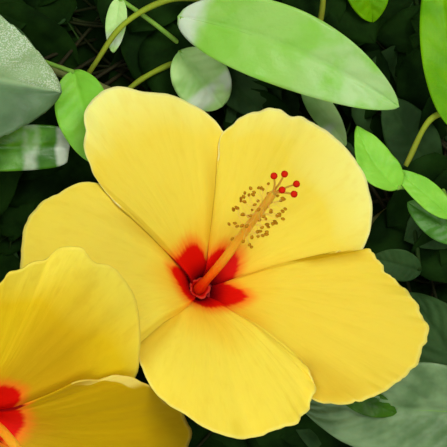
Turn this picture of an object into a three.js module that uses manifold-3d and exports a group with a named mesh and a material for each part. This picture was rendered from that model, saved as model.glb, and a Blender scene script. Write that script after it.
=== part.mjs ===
// A cut branch of hibiscus with two open blooms, lying on its leaves with the blooms facing up.
// Millimetres, +Z up. The branch rests on the plane z = 0.

import * as THREE from 'three';
import { mergeVertices } from 'three/addons/utils/BufferGeometryUtils.js';
import Module from 'manifold-3d';

const wasm = await Module();
wasm.setup();

// Clearance between pieces that touch on the plant.
const SEAT_GAP = 0.3;
// Slivers that fusing leaves are tidied away within this distance.
const SIMPLIFY_WITHIN = 0.1;
const WELD_WITHIN = 0.12;

// Corolla: a funnel that opens into a wide, nearly flat face.
const THROAT_RADIUS = 3.9;
const THROAT_FLARE = 14;
const THROAT_NARROWING = 0.65;
const FUNNEL_LENGTH = 30;
const FUNNEL_STEEPNESS = 0.94;
const CLAW_DISTANCE = 5;
const CLAW_HEIGHT = 0.9;
const CLAW_HALF_WIDTH = 4.2;
const PETAL_THICKNESS = 0.75;
const PETAL_NOMINAL_LENGTH = 64;
const OVERLAP_LIFT = 1.9;
const OVERLAP_ANGLE = degrees(43);
const LIFT_AT_CLAW = 0.42;
const FAN_ANGLE = degrees(112);
const PETAL_ROWS = 8;
const PETAL_COLUMNS = 14;
const RUFFLE_HEIGHT = 1.0;
const CRINKLE = 0.008;

// Calyx: a green cup under the corolla with five lobes and a ring of narrow bracts.
const CALYX_DEPTH = 9;
const CALYX_LOBES = 5;
const BRACTS = 7;

// Staminal column with its stamens, five styles and their round stigmas.
const COLUMN_LENGTH = 60;
const COLUMN_BASE_RADIUS = 2.1;
const COLUMN_RADIUS = 1.45;
const STAMENS = 22;
const STAMENS_START = 0.42;
const FILAMENT_LENGTH = 4.4;
const FILAMENT_RADIUS = 0.3;
const ANTHER_RADIUS = 0.95;
const STYLE_LENGTH = 9;
const STYLE_SPREAD = 3.4;
const STIGMA_RADIUS = 1.15;

// Leaves and the twigs that carry them.
const LEAF_THICKNESS = 1.0;
const LEAF_FOLD = degrees(12);
const LEAF_ARCH = 0.06;
const PETIOLE_RADIUS = 0.75;
const TWIG_RADIUS = 1.5;
const TWIG_TIP_RADIUS = 0.9;
const TWIG_LEAD = 8;
const LEAF_SPACING = 6;
const MASS_MARGIN = 2.5;
const BLOOM_CLEARANCE = 4;
const LIMB_CLEARANCE = 2;
const PHYLLOTAXIS = degrees(144);
// A leaf tip that bears on the ground is pressed this far into it, and trimmed flat there.
const BEARING_DEPTH = 0.35;

// The blooms: throat centre, lean of the axis and its direction, lean of the column on the axis,
// and for each petal its direction, its length and how far its end is bent back (down), then for
// its clockwise and its counterclockwise half the width, where that half is widest (as a share of
// the length) and how full its corner is (0 for a quarter of an ellipse).
// The claws stand evenly round the throat, and the petals turn from there to their directions.
const BLOOMS = [
  {
    name: 'bloom_1',
    throat: new THREE.Vector3(-7.4, -21.8, 45),
    lean: degrees(20),
    leanToward: degrees(48),
    columnLean: degrees(21),
    columnToward: degrees(59),
    firstClaw: degrees(120),
    petals: [
      petalOf(120, 79.5, -1, [35, 20], [0.49, 0.67], [-0.27, 0.05]),
      petalOf(48, 71, 0, [37, 32.5], [0.54, 0.67], [0.1, 0.21]),
      petalOf(-18.5, 79.5, 0, [33.5, 27.2], [0.57, 0.64], [0, -0.36]),
      petalOf(-85, 61.4, 2, [33.2, 32], [0.46, 0.71], [-0.35, 0.22]),
      petalOf(-180, 70.3, -17, [36.2, 36], [0.63, 0.66], [0.37, -0.06]),
    ],
  },
  {
    name: 'bloom_2',
    throat: new THREE.Vector3(-78.5, -58, 70),
    lean: degrees(22),
    leanToward: degrees(-42),
    columnLean: degrees(20),
    columnToward: degrees(-42),
    firstClaw: degrees(56),
    petals: [
      petalOf(62.5, 76.5, 7, [46, 23.7], [0.3, 0.64], [0, -0.5]),
      petalOf(-10.5, 80.8, -22, [35, 29], [0.56, 0.54], [0, -0.27]),
      petalOf(-86, 71, -2, [35, 35], [0.56, 0.56], [0, 0]),
      petalOf(-157, 70, -3, [35, 35], [0.56, 0.56], [0, 0]),
      petalOf(-227, 72, -1, [35, 35], [0.56, 0.56], [0, 0]),
    ],
  },
];

// Woody limbs, each one tapering curve. A side limb starts at the axis of the limb that carries it.
const MAIN_STEM = {
  name: 'main_stem',
  points: [[36, -158, 3.4], [24, -108, 9], [9, -45, 17], [-3, 15, 24], [-10, 56, 28]],
  radii: [3.7, 1.9],
};
const BOUGHS = [
  {
    name: 'bough_left',
    points: [[20, -92, 11], [-30, -104, 18], [-82, -88, 25], [-108, -70, 26]],
    radii: [2.7, 1.7],
  },
  {
    name: 'bough_right',
    points: [[5, -25, 19.5], [34, -12, 22], [62, 8, 25]],
    radii: [2.3, 1.6],
  },
  {
    name: 'bough_lower_right',
    points: [[27, -120, 8], [46, -110, 13], [68, -100, 16]],
    radii: [2.2, 1.6],
  },
  {
    name: 'bough_upper_left',
    points: [[-3, 15, 24], [-40, 45, 27], [-80, 60, 29]],
    radii: [2.3, 1.6],
  },
];
const LOWER_BOUGH = {
  name: 'bough_lower_left',
  points: [[-30, -104, 18], [-40, -117, 16], [-50, -129, 13]],
  radii: [2.0, 1.5],
};
const STALK_RADII = [1.6, 1.3];

// Masses of foliage. Each has a twig that grows on from its limb's tip, leaves in known places
// (how far along the twig, leaf base, leaf tip, half width, roll, bend to one side), and leaves
// dealt out by a seed.
const FOLIAGE = [
  {
    name: 'foliage_upper_left',
    carrier: 'bough_upper_left',
    twig: [[-112, 62, 34], [-146, 50, 34]],
    placed: [
      { at: 0.85, base: [-131, 48, 58], tip: [-51.6, 41.4, 62], halfWidth: 28, roll: 6 },
      { at: 0.75, base: [-120, 22, 44], tip: [-45, 27, 46], halfWidth: 14, roll: 8 },
      { at: 0.1, base: [-49, 50, 46], tip: [-41, 19, 50], halfWidth: 9, roll: 0 },
      { at: 0.45, base: [-80, 68, 34], tip: [-60, 46, 34], halfWidth: 7, roll: 0 },
    ],
    dealt: 11,
    seed: 11,
  },
  {
    name: 'foliage_top',
    carrier: 'main_stem',
    twig: [[0, 88, 33], [12, 116, 31]],
    placed: [
      { at: 0.12, base: [-15, 68, 45], tip: [57, 38, 50], halfWidth: 13, roll: 8, sweep: -4 },
      { at: 0.05, base: [-22, 62, 34], tip: [2, 38, 34], halfWidth: 8, roll: 0 },
      { at: 0.1, base: [-6, 58, 32], tip: [16, 36, 36], halfWidth: 8, roll: 0 },
      { at: 0.6, base: [46, 92, 34], tip: [52, 64, 26], halfWidth: 8, roll: 0 },
    ],
    dealt: 11,
    seed: 23,
  },
  {
    name: 'foliage_right',
    carrier: 'bough_right',
    twig: [[92, 24, 32], [122, 36, 30]],
    placed: [
      { at: 0.15, base: [62.5, 12, 44], tip: [45.5, 31, 44], halfWidth: 8, roll: 15, sweep: -2.5 },
      { at: 0.2, base: [75.5, 2, 42], tip: [57, 17.5, 42], halfWidth: 4.5, roll: 10 },
      { at: 0.3, base: [74, 34, 48], tip: [76, 84, 46], halfWidth: 12, roll: -10 },
      { at: 0.1, base: [71, 17, 25], tip: [55.4, 43, 28], halfWidth: 9, roll: 0 },
      { at: 0.1, base: [79.8, -4, 33], tip: [58, 7.5, 34], halfWidth: 8, roll: 0 },
      { at: 0.02, base: [76, -16, 32], tip: [50, -12, 34], halfWidth: 7, roll: 0 },
    ],
    dealt: 11,
    seed: 37,
  },
  {
    name: 'foliage_lower_right',
    carrier: 'bough_lower_right',
    twig: [[96, -88, 23], [124, -74, 22]],
    placed: [
      { at: 0.25, base: [78, -78, 36], tip: [18, -58, 36], halfWidth: 20, roll: -8 },
      { at: 0.5, base: [88, -60, 28], tip: [63, -24, 26], halfWidth: 12, roll: 0 },
    ],
    dealt: 12,
    seed: 41,
  },
  {
    name: 'foliage_left',
    carrier: 'bough_left',
    twig: [[-132, -50, 30], [-146, -26, 28]],
    placed: [],
    dealt: 13,
    seed: 53,
  },
  {
    name: 'foliage_lower_left',
    carrier: 'bough_lower_left',
    twig: [[-60, -144, 15], [-72, -160, 18]],
    placed: [],
    dealt: 11,
    seed: 67,
  },
];

const FINISHES = {
  petal: { color: 0xf3d34a, roughness: 0.6, metalness: 0 },
  column: { color: 0xe8641e, roughness: 0.55, metalness: 0 },
  green: { color: 0x8fb23c, roughness: 0.6, metalness: 0 },
  bark: { color: 0x7b6a4b, roughness: 0.85, metalness: 0 },
  leaf: { color: 0x4f8a36, roughness: 0.5, metalness: 0 },
};

function degrees(angle) {
  return angle * Math.PI / 180;
}

function makeRandom(seed) {
  let state = seed;
  return () => {
    state = (state * 48271) % 2147483647;
    return state / 2147483647;
  };
}

// Moves each vertex of a closed three.js geometry with a function of its place.
function shaped(geometry, place) {
  geometry.deleteAttribute('normal');
  geometry.deleteAttribute('uv');
  const closed = mergeVertices(geometry);
  const position = closed.attributes.position;
  const vertex = new THREE.Vector3();
  for (let i = 0; i < position.count; i++) {
    vertex.fromBufferAttribute(position, i);
    const moved = place(vertex);
    position.setXYZ(i, moved.x, moved.y, moved.z);
  }
  closed.computeVertexNormals();
  return closed;
}

function solidOf(geometry) {
  const bare = geometry.clone();
  bare.deleteAttribute('normal');
  bare.deleteAttribute('uv');
  const closed = mergeVertices(bare);
  const mesh = new wasm.Mesh({
    numProp: 3,
    vertProperties: new Float32Array(closed.attributes.position.array),
    triVerts: new Uint32Array(closed.index.array),
  });
  const solid = new wasm.Manifold(mesh);
  return solid.volume() < 0 ? new wasm.Manifold(flipped(mesh)) : solid;
}

function flipped(mesh) {
  const triangles = mesh.triVerts;
  for (let i = 0; i < triangles.length; i += 3) {
    const first = triangles[i];
    triangles[i] = triangles[i + 1];
    triangles[i + 1] = first;
  }
  return new wasm.Mesh({ numProp: 3, vertProperties: mesh.vertProperties, triVerts: triangles });
}

function geometryOf(solid) {
  const mesh = solid.getMesh();
  const places = new Float32Array(mesh.vertProperties);
  const geometry = new THREE.BufferGeometry();
  geometry.setAttribute('position', new THREE.BufferAttribute(places, 3));
  geometry.setIndex(new THREE.BufferAttribute(new Uint32Array(mesh.triVerts), 1));
  geometry.computeVertexNormals();
  return geometry;
}

function fused(solids) {
  return wasm.Manifold.union(solids);
}

// Closes up each edge shorter than WELD_WITHIN, with the faces that this flattens.
function welded(solid) {
  const mesh = solid.getMesh();
  const corners = mesh.triVerts;
  const places = mesh.vertProperties;
  const into = Array.from({ length: mesh.numVert }, (_, i) => i);
  const follow = (i) => {
    let last = i;
    while (into[last] !== last) {
      last = into[last];
    }
    return last;
  };
  const place = (i) => new THREE.Vector3().fromArray(places, 3 * i);
  for (let i = 0; i < corners.length; i++) {
    const from = corners[i];
    const to = corners[i % 3 === 2 ? i - 2 : i + 1];
    if (place(from).distanceTo(place(to)) < WELD_WITHIN) {
      into[Math.max(follow(from), follow(to))] = Math.min(follow(from), follow(to));
    }
  }
  const kept = [];
  for (let i = 0; i < corners.length; i += 3) {
    const [a, b, c] = [follow(corners[i]), follow(corners[i + 1]), follow(corners[i + 2])];
    if (a !== b && b !== c && c !== a) {
      kept.push(a, b, c);
    }
  }
  const triVerts = new Uint32Array(kept);
  return new wasm.Manifold(new wasm.Mesh({ numProp: 3, vertProperties: places, triVerts }));
}

// Keeps the largest body, so that no scrap stays loose beside it.
function wholePiece(solid) {
  const bodies = solid.decompose();
  bodies.sort((a, b) => b.volume() - a.volume());
  return bodies[0];
}

function meshOf(name, solid, finish) {
  const mesh = new THREE.Mesh(geometryOf(solid), new THREE.MeshStandardMaterial(FINISHES[finish]));
  mesh.name = name;
  return mesh;
}

function curveThrough(points) {
  return new THREE.CatmullRomCurve3(points.map((p) => new THREE.Vector3(...p)), false, 'centripetal');
}

// A tapering limb: a cylinder whose rings are laid out along a curve.
function limbSolid(curve, radii, sides, rings, extra = 0) {
  const frames = curve.computeFrenetFrames(rings, false);
  const geometry = new THREE.CylinderGeometry(1, 1, 1, sides, rings);
  return solidOf(shaped(geometry, (v) => {
    const fraction = 0.5 - v.y;
    const ring = Math.round(fraction * rings);
    const radius = THREE.MathUtils.lerp(radii[0], radii[1], fraction) + extra;
    return curve.getPointAt(fraction)
      .addScaledVector(frames.normals[ring], v.x * radius)
      .addScaledVector(frames.binormals[ring], v.z * radius);
  }));
}

// How much the open corolla is bent back in one direction: a smooth blend of its petals' bends.
function bendToward(bloom, azimuth) {
  let total = 0;
  let weights = 0;
  for (const petal of bloom.petals) {
    const weight = Math.pow(0.5 + 0.5 * Math.cos(azimuth - petal.toward), 4);
    total += weight * petal.bend;
    weights += weight;
  }
  return total / weights;
}

// A petal from its direction in degrees, its length, the bend of its end, and its two halves.
function petalOf(toward, length, bend, halves, shoulders, fullness) {
  return { toward: degrees(toward), length, bend, halves, shoulders, fullness };
}

// A point of the corolla's face in the bloom's own frame, and its distance off that face.
function corollaPoint(bloom, azimuth, along, lift) {
  const flare = Math.exp(-along / THROAT_FLARE);
  const rise = Math.exp(-along / FUNNEL_LENGTH);
  const radius = THROAT_RADIUS + along - THROAT_NARROWING * THROAT_FLARE * (1 - flare);
  const reach = along / PETAL_NOMINAL_LENGTH;
  const bent = reach * reach * bendToward(bloom, azimuth);
  const height = FUNNEL_STEEPNESS * FUNNEL_LENGTH * (1 - rise) + bent;
  const outward = 1 - THROAT_NARROWING * flare;
  const upward = FUNNEL_STEEPNESS * rise;
  const slope = Math.hypot(outward, upward);
  const liftedRadius = radius - lift * upward / slope;
  return new THREE.Vector3(
    liftedRadius * Math.cos(azimuth),
    liftedRadius * Math.sin(azimuth),
    CLAW_HEIGHT + height + lift * outward / slope,
  );
}

// A petal is a fan of rays from its claw. Its counterclockwise side lies over the next petal.
function petalPoint(bloom, petal, along, across, off) {
  const ray = across * FAN_ANGLE;
  const crinkle = 1 + CRINKLE * Math.sin(17 * across);
  const half = across > 0 ? 0 : 1;
  const shoulder = petal.length * petal.shoulders[half];
  const corner = 1 + petal.fullness[half] * Math.sin(ray) * Math.sin(ray);
  const edgeX = petal.halves[half] * Math.sin(ray) * crinkle;
  const edgeY = shoulder + (petal.length - shoulder) * Math.cos(ray) * corner * crinkle;
  const flatX = THREE.MathUtils.lerp(across * CLAW_HALF_WIDTH, edgeX, along);
  const flatY = THREE.MathUtils.lerp(CLAW_DISTANCE, edgeY, along);
  const turn = Math.atan2(flatX, flatY);
  const distance = Math.hypot(flatX, flatY) - CLAW_DISTANCE;
  const grown = LIFT_AT_CLAW + (1 - LIFT_AT_CLAW) * THREE.MathUtils.smoothstep(distance, 0, 25);
  const ruffle = RUFFLE_HEIGHT * Math.pow(along, 5) * Math.sin(11 * across + 30 * petal.toward);
  const lift = -OVERLAP_LIFT * grown * turn / OVERLAP_ANGLE + ruffle + off;
  const settled = THREE.MathUtils.smoothstep(distance, 0, 25);
  const direction = THREE.MathUtils.lerp(petal.claw, petal.toward, settled);
  return corollaPoint(bloom, direction - turn, distance, lift);
}

function petalSolid(bloom, petal) {
  const sheet = new THREE.BoxGeometry(1, 1, 1, PETAL_ROWS, PETAL_COLUMNS, 1);
  return solidOf(shaped(sheet, (v) => (
    petalPoint(bloom, petal, v.x + 0.5, v.y * 2, v.z * PETAL_THICKNESS)
  )));
}

// Half width of a leaf, as a share of its widest, at a fraction of its length.
function leafOutline(fraction) {
  return 2.36 * Math.pow(fraction, 0.55) * Math.pow(1 - fraction, 0.7);
}

// A point of a leaf: fraction along it, side (-1 to 1) across it, and distance off its face.
function leafPoint(leaf, fraction, side, off) {
  const half = leaf.halfWidth * leafOutline(fraction) * Math.abs(side);
  const bow = 4 * fraction * (1 - fraction);
  return leaf.base.clone().lerp(leaf.tip, fraction)
    .addScaledVector(leaf.face, leaf.arch * bow + half * Math.sin(LEAF_FOLD) + off)
    .addScaledVector(leaf.across, leaf.sweep * bow + Math.sign(side) * half * Math.cos(LEAF_FOLD));
}

function leafSolid(leaf) {
  const spindle = new THREE.SphereGeometry(1, 4, 5);
  return solidOf(shaped(spindle, (v) => {
    const ring = Math.hypot(v.x, v.z);
    const fraction = Math.acos(THREE.MathUtils.clamp(v.y, -1, 1)) / Math.PI;
    const side = ring > 1e-6 ? v.x / ring : 0;
    const off = ring > 1e-6 ? 0.5 * LEAF_THICKNESS * v.z / ring : 0;
    return leafPoint(leaf, fraction, side, off);
  }));
}

function makeLeaf(base, tip, halfWidth, roll, sweep = 0) {
  const direction = tip.clone().sub(base).normalize();
  const face = new THREE.Vector3(0, 0, 1).addScaledVector(direction, -direction.z).normalize();
  face.applyAxisAngle(direction, roll);
  const across = direction.clone().cross(face);
  return { base, tip, halfWidth, face, across, sweep, arch: base.distanceTo(tip) * LEAF_ARCH };
}

function petioleSolid(start, leaf) {
  const end = leafPoint(leaf, 0.1, 0, 0);
  const middle = start.clone().lerp(leaf.base, 0.6);
  middle.z += 0.08 * start.distanceTo(leaf.base);
  const curve = new THREE.CatmullRomCurve3([start, middle, end]);
  return limbSolid(curve, [PETIOLE_RADIUS * 1.3, PETIOLE_RADIUS], 3, 2);
}

function calyxSolid() {
  const cup = new THREE.LatheGeometry([
    new THREE.Vector2(0, -CALYX_DEPTH),
    new THREE.Vector2(1.9, -CALYX_DEPTH),
    new THREE.Vector2(4.2, -CALYX_DEPTH + 3),
    new THREE.Vector2(5.6, -3),
    new THREE.Vector2(6.0, 0),
    new THREE.Vector2(0, 0),
  ], 10);
  cup.rotateX(Math.PI / 2);
  const solids = [solidOf(cup)];
  const ring = (count, base, tip, halfWidth) => {
    for (let i = 0; i < count; i++) {
      const azimuth = 2 * Math.PI * i / count;
      const out = new THREE.Vector3(Math.cos(azimuth), Math.sin(azimuth), 0);
      const from = out.clone().multiplyScalar(base[0]).setZ(base[1]);
      const to = out.clone().multiplyScalar(tip[0]).setZ(tip[1]);
      const blade = makeLeaf(from, to, halfWidth, 0);
      blade.arch = -1.2;
      solids.push(leafSolid(blade));
    }
  };
  ring(CALYX_LOBES, [4.4, -4.5], [19, 7.5], 4.2);
  ring(BRACTS, [2.6, -7.6], [14, -5], 1.3);
  return wholePiece(fused(solids));
}

// Direction of the column in the bloom's frame.
function columnDirection(bloom) {
  const side = new THREE.Vector3(Math.cos(bloom.columnToward), Math.sin(bloom.columnToward), 0);
  return side.multiplyScalar(Math.sin(bloom.columnLean)).setZ(Math.cos(bloom.columnLean));
}

function columnSolid(bloom) {
  const direction = columnDirection(bloom);
  const start = new THREE.Vector3(0, 0, -1.5);
  const end = start.clone().addScaledVector(direction, COLUMN_LENGTH);
  const shaft = new THREE.CatmullRomCurve3([start, end]);
  const turn = new THREE.Quaternion().setFromUnitVectors(new THREE.Vector3(0, 0, 1), direction);
  const radial = (angle) => (
    new THREE.Vector3(Math.cos(angle), Math.sin(angle), 0).applyQuaternion(turn)
  );
  const neck = new THREE.CatmullRomCurve3([start, shaft.getPointAt(0.12)]);
  const solids = [
    limbSolid(shaft, [COLUMN_RADIUS, COLUMN_RADIUS * 0.8], 10, 4),
    limbSolid(neck, [COLUMN_BASE_RADIUS, COLUMN_RADIUS], 10, 1),
  ];
  for (let i = 0; i < STAMENS; i++) {
    const fraction = STAMENS_START + (0.98 - STAMENS_START) * i / (STAMENS - 1);
    const root = shaft.getPointAt(fraction);
    const out = radial(i * 2.39996).addScaledVector(direction, 0.35).normalize();
    const tip = root.clone().addScaledVector(out, COLUMN_RADIUS + FILAMENT_LENGTH);
    const stamen = new THREE.CatmullRomCurve3([root, tip]);
    solids.push(limbSolid(stamen, [FILAMENT_RADIUS, ANTHER_RADIUS], 3, 1));
  }
  for (let i = 0; i < 5; i++) {
    const root = shaft.getPointAt(0.97);
    const tip = root.clone().addScaledVector(direction, STYLE_LENGTH)
      .addScaledVector(radial(degrees(72 * i)), STYLE_SPREAD);
    solids.push(limbSolid(new THREE.CatmullRomCurve3([root, tip]), [0.45, 0.4], 5, 1));
    const stigma = new THREE.IcosahedronGeometry(STIGMA_RADIUS, 0);
    stigma.translate(tip.x, tip.y, tip.z);
    solids.push(solidOf(stigma));
  }
  return welded(wholePiece(fused(solids).trimByPlane([0, 0, 1], SEAT_GAP)).simplify(SIMPLIFY_WITHIN));
}

function bloomGroup(bloom) {
  bloom.petals.forEach((petal, i) => {
    petal.claw = bloom.firstClaw - i * 2 * Math.PI / bloom.petals.length;
  });
  const group = new THREE.Group();
  group.position.copy(bloom.throat);
  group.quaternion.copy(bloom.turn);
  group.add(meshOf(`${bloom.name}_calyx`, calyxSolid(), 'green'));
  group.add(meshOf(`${bloom.name}_column`, columnSolid(bloom), 'column'));
  bloom.petals.forEach((petal, i) => {
    group.add(meshOf(`${bloom.name}_petal_${i + 1}`, petalSolid(bloom, petal), 'petal'));
  });
  return group;
}

// The flower stalk rises from its bough to the foot of the calyx.
function stalkSolid(bloom, root, carrier) {
  const onAxis = (depth) => (
    new THREE.Vector3(0, 0, -depth).applyQuaternion(bloom.turn).add(bloom.throat)
  );
  const below = onAxis(CALYX_DEPTH + 12);
  const foot = onAxis(CALYX_DEPTH + SEAT_GAP);
  const curve = new THREE.CatmullRomCurve3([root, below, foot], false, 'centripetal');
  return wholePiece(limbSolid(curve, STALK_RADII, 8, 6).subtract(carrier));
}

// True where a point lies too near a bloom, a limb or the ground to hold a leaf.
function isTaken(point, limbs) {
  if (point.z < -BEARING_DEPTH - 0.01) {
    return true;
  }
  for (const bloom of BLOOMS) {
    const local = point.clone().sub(bloom.throat).applyQuaternion(bloom.turn.clone().invert());
    const radius = Math.hypot(local.x, local.y);
    const azimuth = Math.atan2(local.y, local.x);
    const reach = radius / PETAL_NOMINAL_LENGTH;
    const face = 25 * (1 - Math.exp(-radius / 20)) + reach * reach * bendToward(bloom, azimuth);
    const lowest = radius < 22 ? -CALYX_DEPTH : face;
    if (radius < 84 && local.z > lowest - BLOOM_CLEARANCE) {
      return true;
    }
  }
  return limbs.some((limb) => limb.samples.some((sample) => sample.distanceTo(point) < limb.reach));
}

const leafProbes = [];
for (const fraction of [0.1, 0.35, 0.6, 0.85, 1]) {
  for (const side of [-1, 0, 1]) {
    leafProbes.push([fraction, side]);
  }
}

function nearest(points, place) {
  return Math.min(...points.map((point) => point.distanceTo(place)));
}

// Leaves dealt out round a twig by its seed. One that would leave the mass's own space is skipped.
function dealLeaves(mass, masses, limbs) {
  const random = makeRandom(mass.seed);
  const others = masses.filter((other) => other !== mass);
  for (let i = 0; i < mass.dealt; i++) {
    const fraction = 0.12 + 0.86 * i / (mass.dealt - 1);
    const root = mass.curve.getPointAt(fraction);
    const onward = mass.curve.getTangentAt(fraction);
    const angle = i * PHYLLOTAXIS + 0.5 * random();
    const spread = degrees(105 - 55 * fraction + 12 * random());
    const heading = Math.atan2(onward.y, onward.x) + spread * Math.sin(angle);
    const direction = new THREE.Vector3(Math.cos(heading), Math.sin(heading), 0)
      .setZ(0.3 * Math.cos(angle) - 0.08)
      .normalize();
    const length = (44 + 22 * random()) * (1 - 0.25 * fraction);
    const base = root.clone().addScaledVector(direction, 12 + 8 * random());
    base.z = Math.max(base.z, 3);
    const tip = base.clone().addScaledVector(direction, length);
    tip.z = Math.max(tip.z - (i % 3 === 0 ? 0.5 : 0.12) * length, -BEARING_DEPTH);
    const leaf = makeLeaf(base, tip, length * (0.25 + 0.06 * random()), degrees(30 * random() - 15));
    const probes = leafProbes.map(([along, side]) => leafPoint(leaf, along, side, 0));
    const crowded = probes.some((place) => {
      const away = Math.min(...others.map((other) => nearest(other.sites, place)));
      return isTaken(place, limbs) || nearest(mass.sites, place) > away - MASS_MARGIN;
    });
    const middles = [0.3, 0.6, 0.9].map((along) => leafPoint(leaf, along, 0, 0));
    if (crowded || middles.some((place) => nearest(mass.midribs, place) < LEAF_SPACING)) {
      continue;
    }
    mass.leaves.push({ root, leaf });
    mass.midribs.push(...middles);
    mass.sites.push(...middles);
  }
}

function prepareMass(entry) {
  const carrier = limbCurves[entry.carrier];
  const foot = carrier.getPointAt(1);
  const onward = carrier.getTangentAt(1);
  const start = foot.clone().addScaledVector(onward, SEAT_GAP);
  const along = foot.clone().addScaledVector(onward, TWIG_LEAD);
  const twig = [start, along, ...entry.twig.map((p) => new THREE.Vector3(...p))];
  const curve = new THREE.CatmullRomCurve3(twig, false, 'centripetal');
  const mass = { ...entry, curve, leaves: [], midribs: [], sites: curve.getSpacedPoints(6) };
  for (const spot of entry.placed) {
    const base = new THREE.Vector3(...spot.base);
    const tip = new THREE.Vector3(...spot.tip);
    const leaf = makeLeaf(base, tip, spot.halfWidth, degrees(spot.roll), spot.sweep);
    mass.leaves.push({ root: curve.getPointAt(spot.at), leaf });
    for (const fraction of [0, 0.25, 0.5, 0.75, 1]) {
      mass.midribs.push(leafPoint(leaf, fraction, 0, 0));
      mass.sites.push(leafPoint(leaf, fraction, 0, 0));
    }
  }
  return mass;
}

function massSolid(mass) {
  const solids = [limbSolid(mass.curve, [TWIG_RADIUS, TWIG_TIP_RADIUS], 6, 6)];
  for (const { root, leaf } of mass.leaves) {
    solids.push(petioleSolid(root, leaf), leafSolid(leaf));
  }
  return welded(wholePiece(fused(solids).trimByPlane([0, 0, 1], 0)).simplify(SIMPLIFY_WITHIN));
}

const branch = new THREE.Group();
for (const bloom of BLOOMS) {
  const axis = new THREE.Vector3(Math.cos(bloom.leanToward), Math.sin(bloom.leanToward), 0)
    .multiplyScalar(Math.sin(bloom.lean))
    .setZ(Math.cos(bloom.lean));
  bloom.turn = new THREE.Quaternion().setFromUnitVectors(new THREE.Vector3(0, 0, 1), axis);
  branch.add(bloomGroup(bloom));
}

const stemCurve = curveThrough(MAIN_STEM.points);
const stemSleeve = limbSolid(stemCurve, MAIN_STEM.radii, 9, 16, SEAT_GAP);
const stem = limbSolid(stemCurve, MAIN_STEM.radii, 9, 16).trimByPlane([0, 0, 1], 0);
branch.add(meshOf(MAIN_STEM.name, stem, 'bark'));

const limbCurves = { main_stem: stemCurve };
const limbs = [{ samples: stemCurve.getSpacedPoints(40), reach: MAIN_STEM.radii[0] + LIMB_CLEARANCE }];
const sleeves = {};
for (const bough of BOUGHS) {
  const curve = curveThrough(bough.points);
  const solid = limbSolid(curve, bough.radii, 8, 9).subtract(stemSleeve);
  branch.add(meshOf(bough.name, wholePiece(solid), 'bark'));
  sleeves[bough.name] = limbSolid(curve, bough.radii, 8, 9, SEAT_GAP);
  limbCurves[bough.name] = curve;
  limbs.push({ samples: curve.getSpacedPoints(24), reach: bough.radii[0] + LIMB_CLEARANCE });
}
const lowerCurve = curveThrough(LOWER_BOUGH.points);
limbCurves.bough_lower_left = lowerCurve;
const lowerBough = limbSolid(lowerCurve, LOWER_BOUGH.radii, 8, 5).subtract(sleeves.bough_left);
branch.add(meshOf(LOWER_BOUGH.name, wholePiece(lowerBough), 'bark'));
limbs.push({ samples: lowerCurve.getSpacedPoints(16), reach: LOWER_BOUGH.radii[0] + LIMB_CLEARANCE });

const firstRoot = stemCurve.getPointAt(0.52);
const secondRoot = curveThrough(BOUGHS[0].points).getPointAt(0.72);
branch.add(meshOf('bloom_1_stalk', stalkSolid(BLOOMS[0], firstRoot, stemSleeve), 'green'));
branch.add(meshOf('bloom_2_stalk', stalkSolid(BLOOMS[1], secondRoot, sleeves.bough_left), 'green'));

const masses = FOLIAGE.map(prepareMass);
for (const mass of masses) {
  dealLeaves(mass, masses, limbs);
  branch.add(meshOf(mass.name, massSolid(mass), 'leaf'));
}

// The frame's origin is under the middle of the whole branch.
branch.updateMatrixWorld(true);
const bounds = new THREE.Box3().setFromObject(branch, true);
const middle = bounds.getCenter(new THREE.Vector3());
branch.position.set(-middle.x, -middle.y, -bounds.min.z);

const group = new THREE.Group();
group.add(branch);

export default group;
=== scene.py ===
"""A cut branch of hibiscus with two open blooms, lying on its leaves, dressed round its CAD frame."""

from __future__ import annotations

import logging
import math
from collections.abc import Callable, Sequence
from dataclasses import dataclass
from enum import Enum
from typing import Protocol

import bpy
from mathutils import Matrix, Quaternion, Vector, noise

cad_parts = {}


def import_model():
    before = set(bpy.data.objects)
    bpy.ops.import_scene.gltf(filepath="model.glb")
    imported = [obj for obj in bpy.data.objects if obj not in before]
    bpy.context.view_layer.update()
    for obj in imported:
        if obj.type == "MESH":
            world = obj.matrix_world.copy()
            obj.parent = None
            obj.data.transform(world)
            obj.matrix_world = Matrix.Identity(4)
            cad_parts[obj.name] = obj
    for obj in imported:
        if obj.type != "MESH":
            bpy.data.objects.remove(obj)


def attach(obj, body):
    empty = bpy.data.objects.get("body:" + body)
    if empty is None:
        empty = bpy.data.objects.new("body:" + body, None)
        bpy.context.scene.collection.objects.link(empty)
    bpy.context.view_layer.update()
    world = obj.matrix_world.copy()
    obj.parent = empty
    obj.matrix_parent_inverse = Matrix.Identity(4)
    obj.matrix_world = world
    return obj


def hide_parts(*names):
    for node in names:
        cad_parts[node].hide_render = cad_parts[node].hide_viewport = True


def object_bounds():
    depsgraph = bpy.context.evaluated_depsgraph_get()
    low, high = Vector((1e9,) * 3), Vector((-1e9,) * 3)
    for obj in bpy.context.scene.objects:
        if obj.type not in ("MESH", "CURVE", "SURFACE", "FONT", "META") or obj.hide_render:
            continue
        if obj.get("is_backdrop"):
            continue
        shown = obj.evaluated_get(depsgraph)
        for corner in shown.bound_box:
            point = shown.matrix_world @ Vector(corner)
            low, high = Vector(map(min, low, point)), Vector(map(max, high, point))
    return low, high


MM = 0.001
UP = Vector((0.0, 0.0, 1.0))
ORIGIN = Vector((10.231, 26.8845, 0.0))
WELD = 0.00001

Pair = tuple[float, float]
Point = tuple[float, float, float]
Edges = tuple[float, float, float, float]
Light = tuple[float, float, float, float]
Colour = tuple[int, int, int]
Socket = bpy.types.NodeSocket
Place = Callable[[Vector], Vector]
Chart = Callable[[Vector], Pair]
Radius = Callable[[float, float], float]

log = logging.getLogger("hibiscus")


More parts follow.
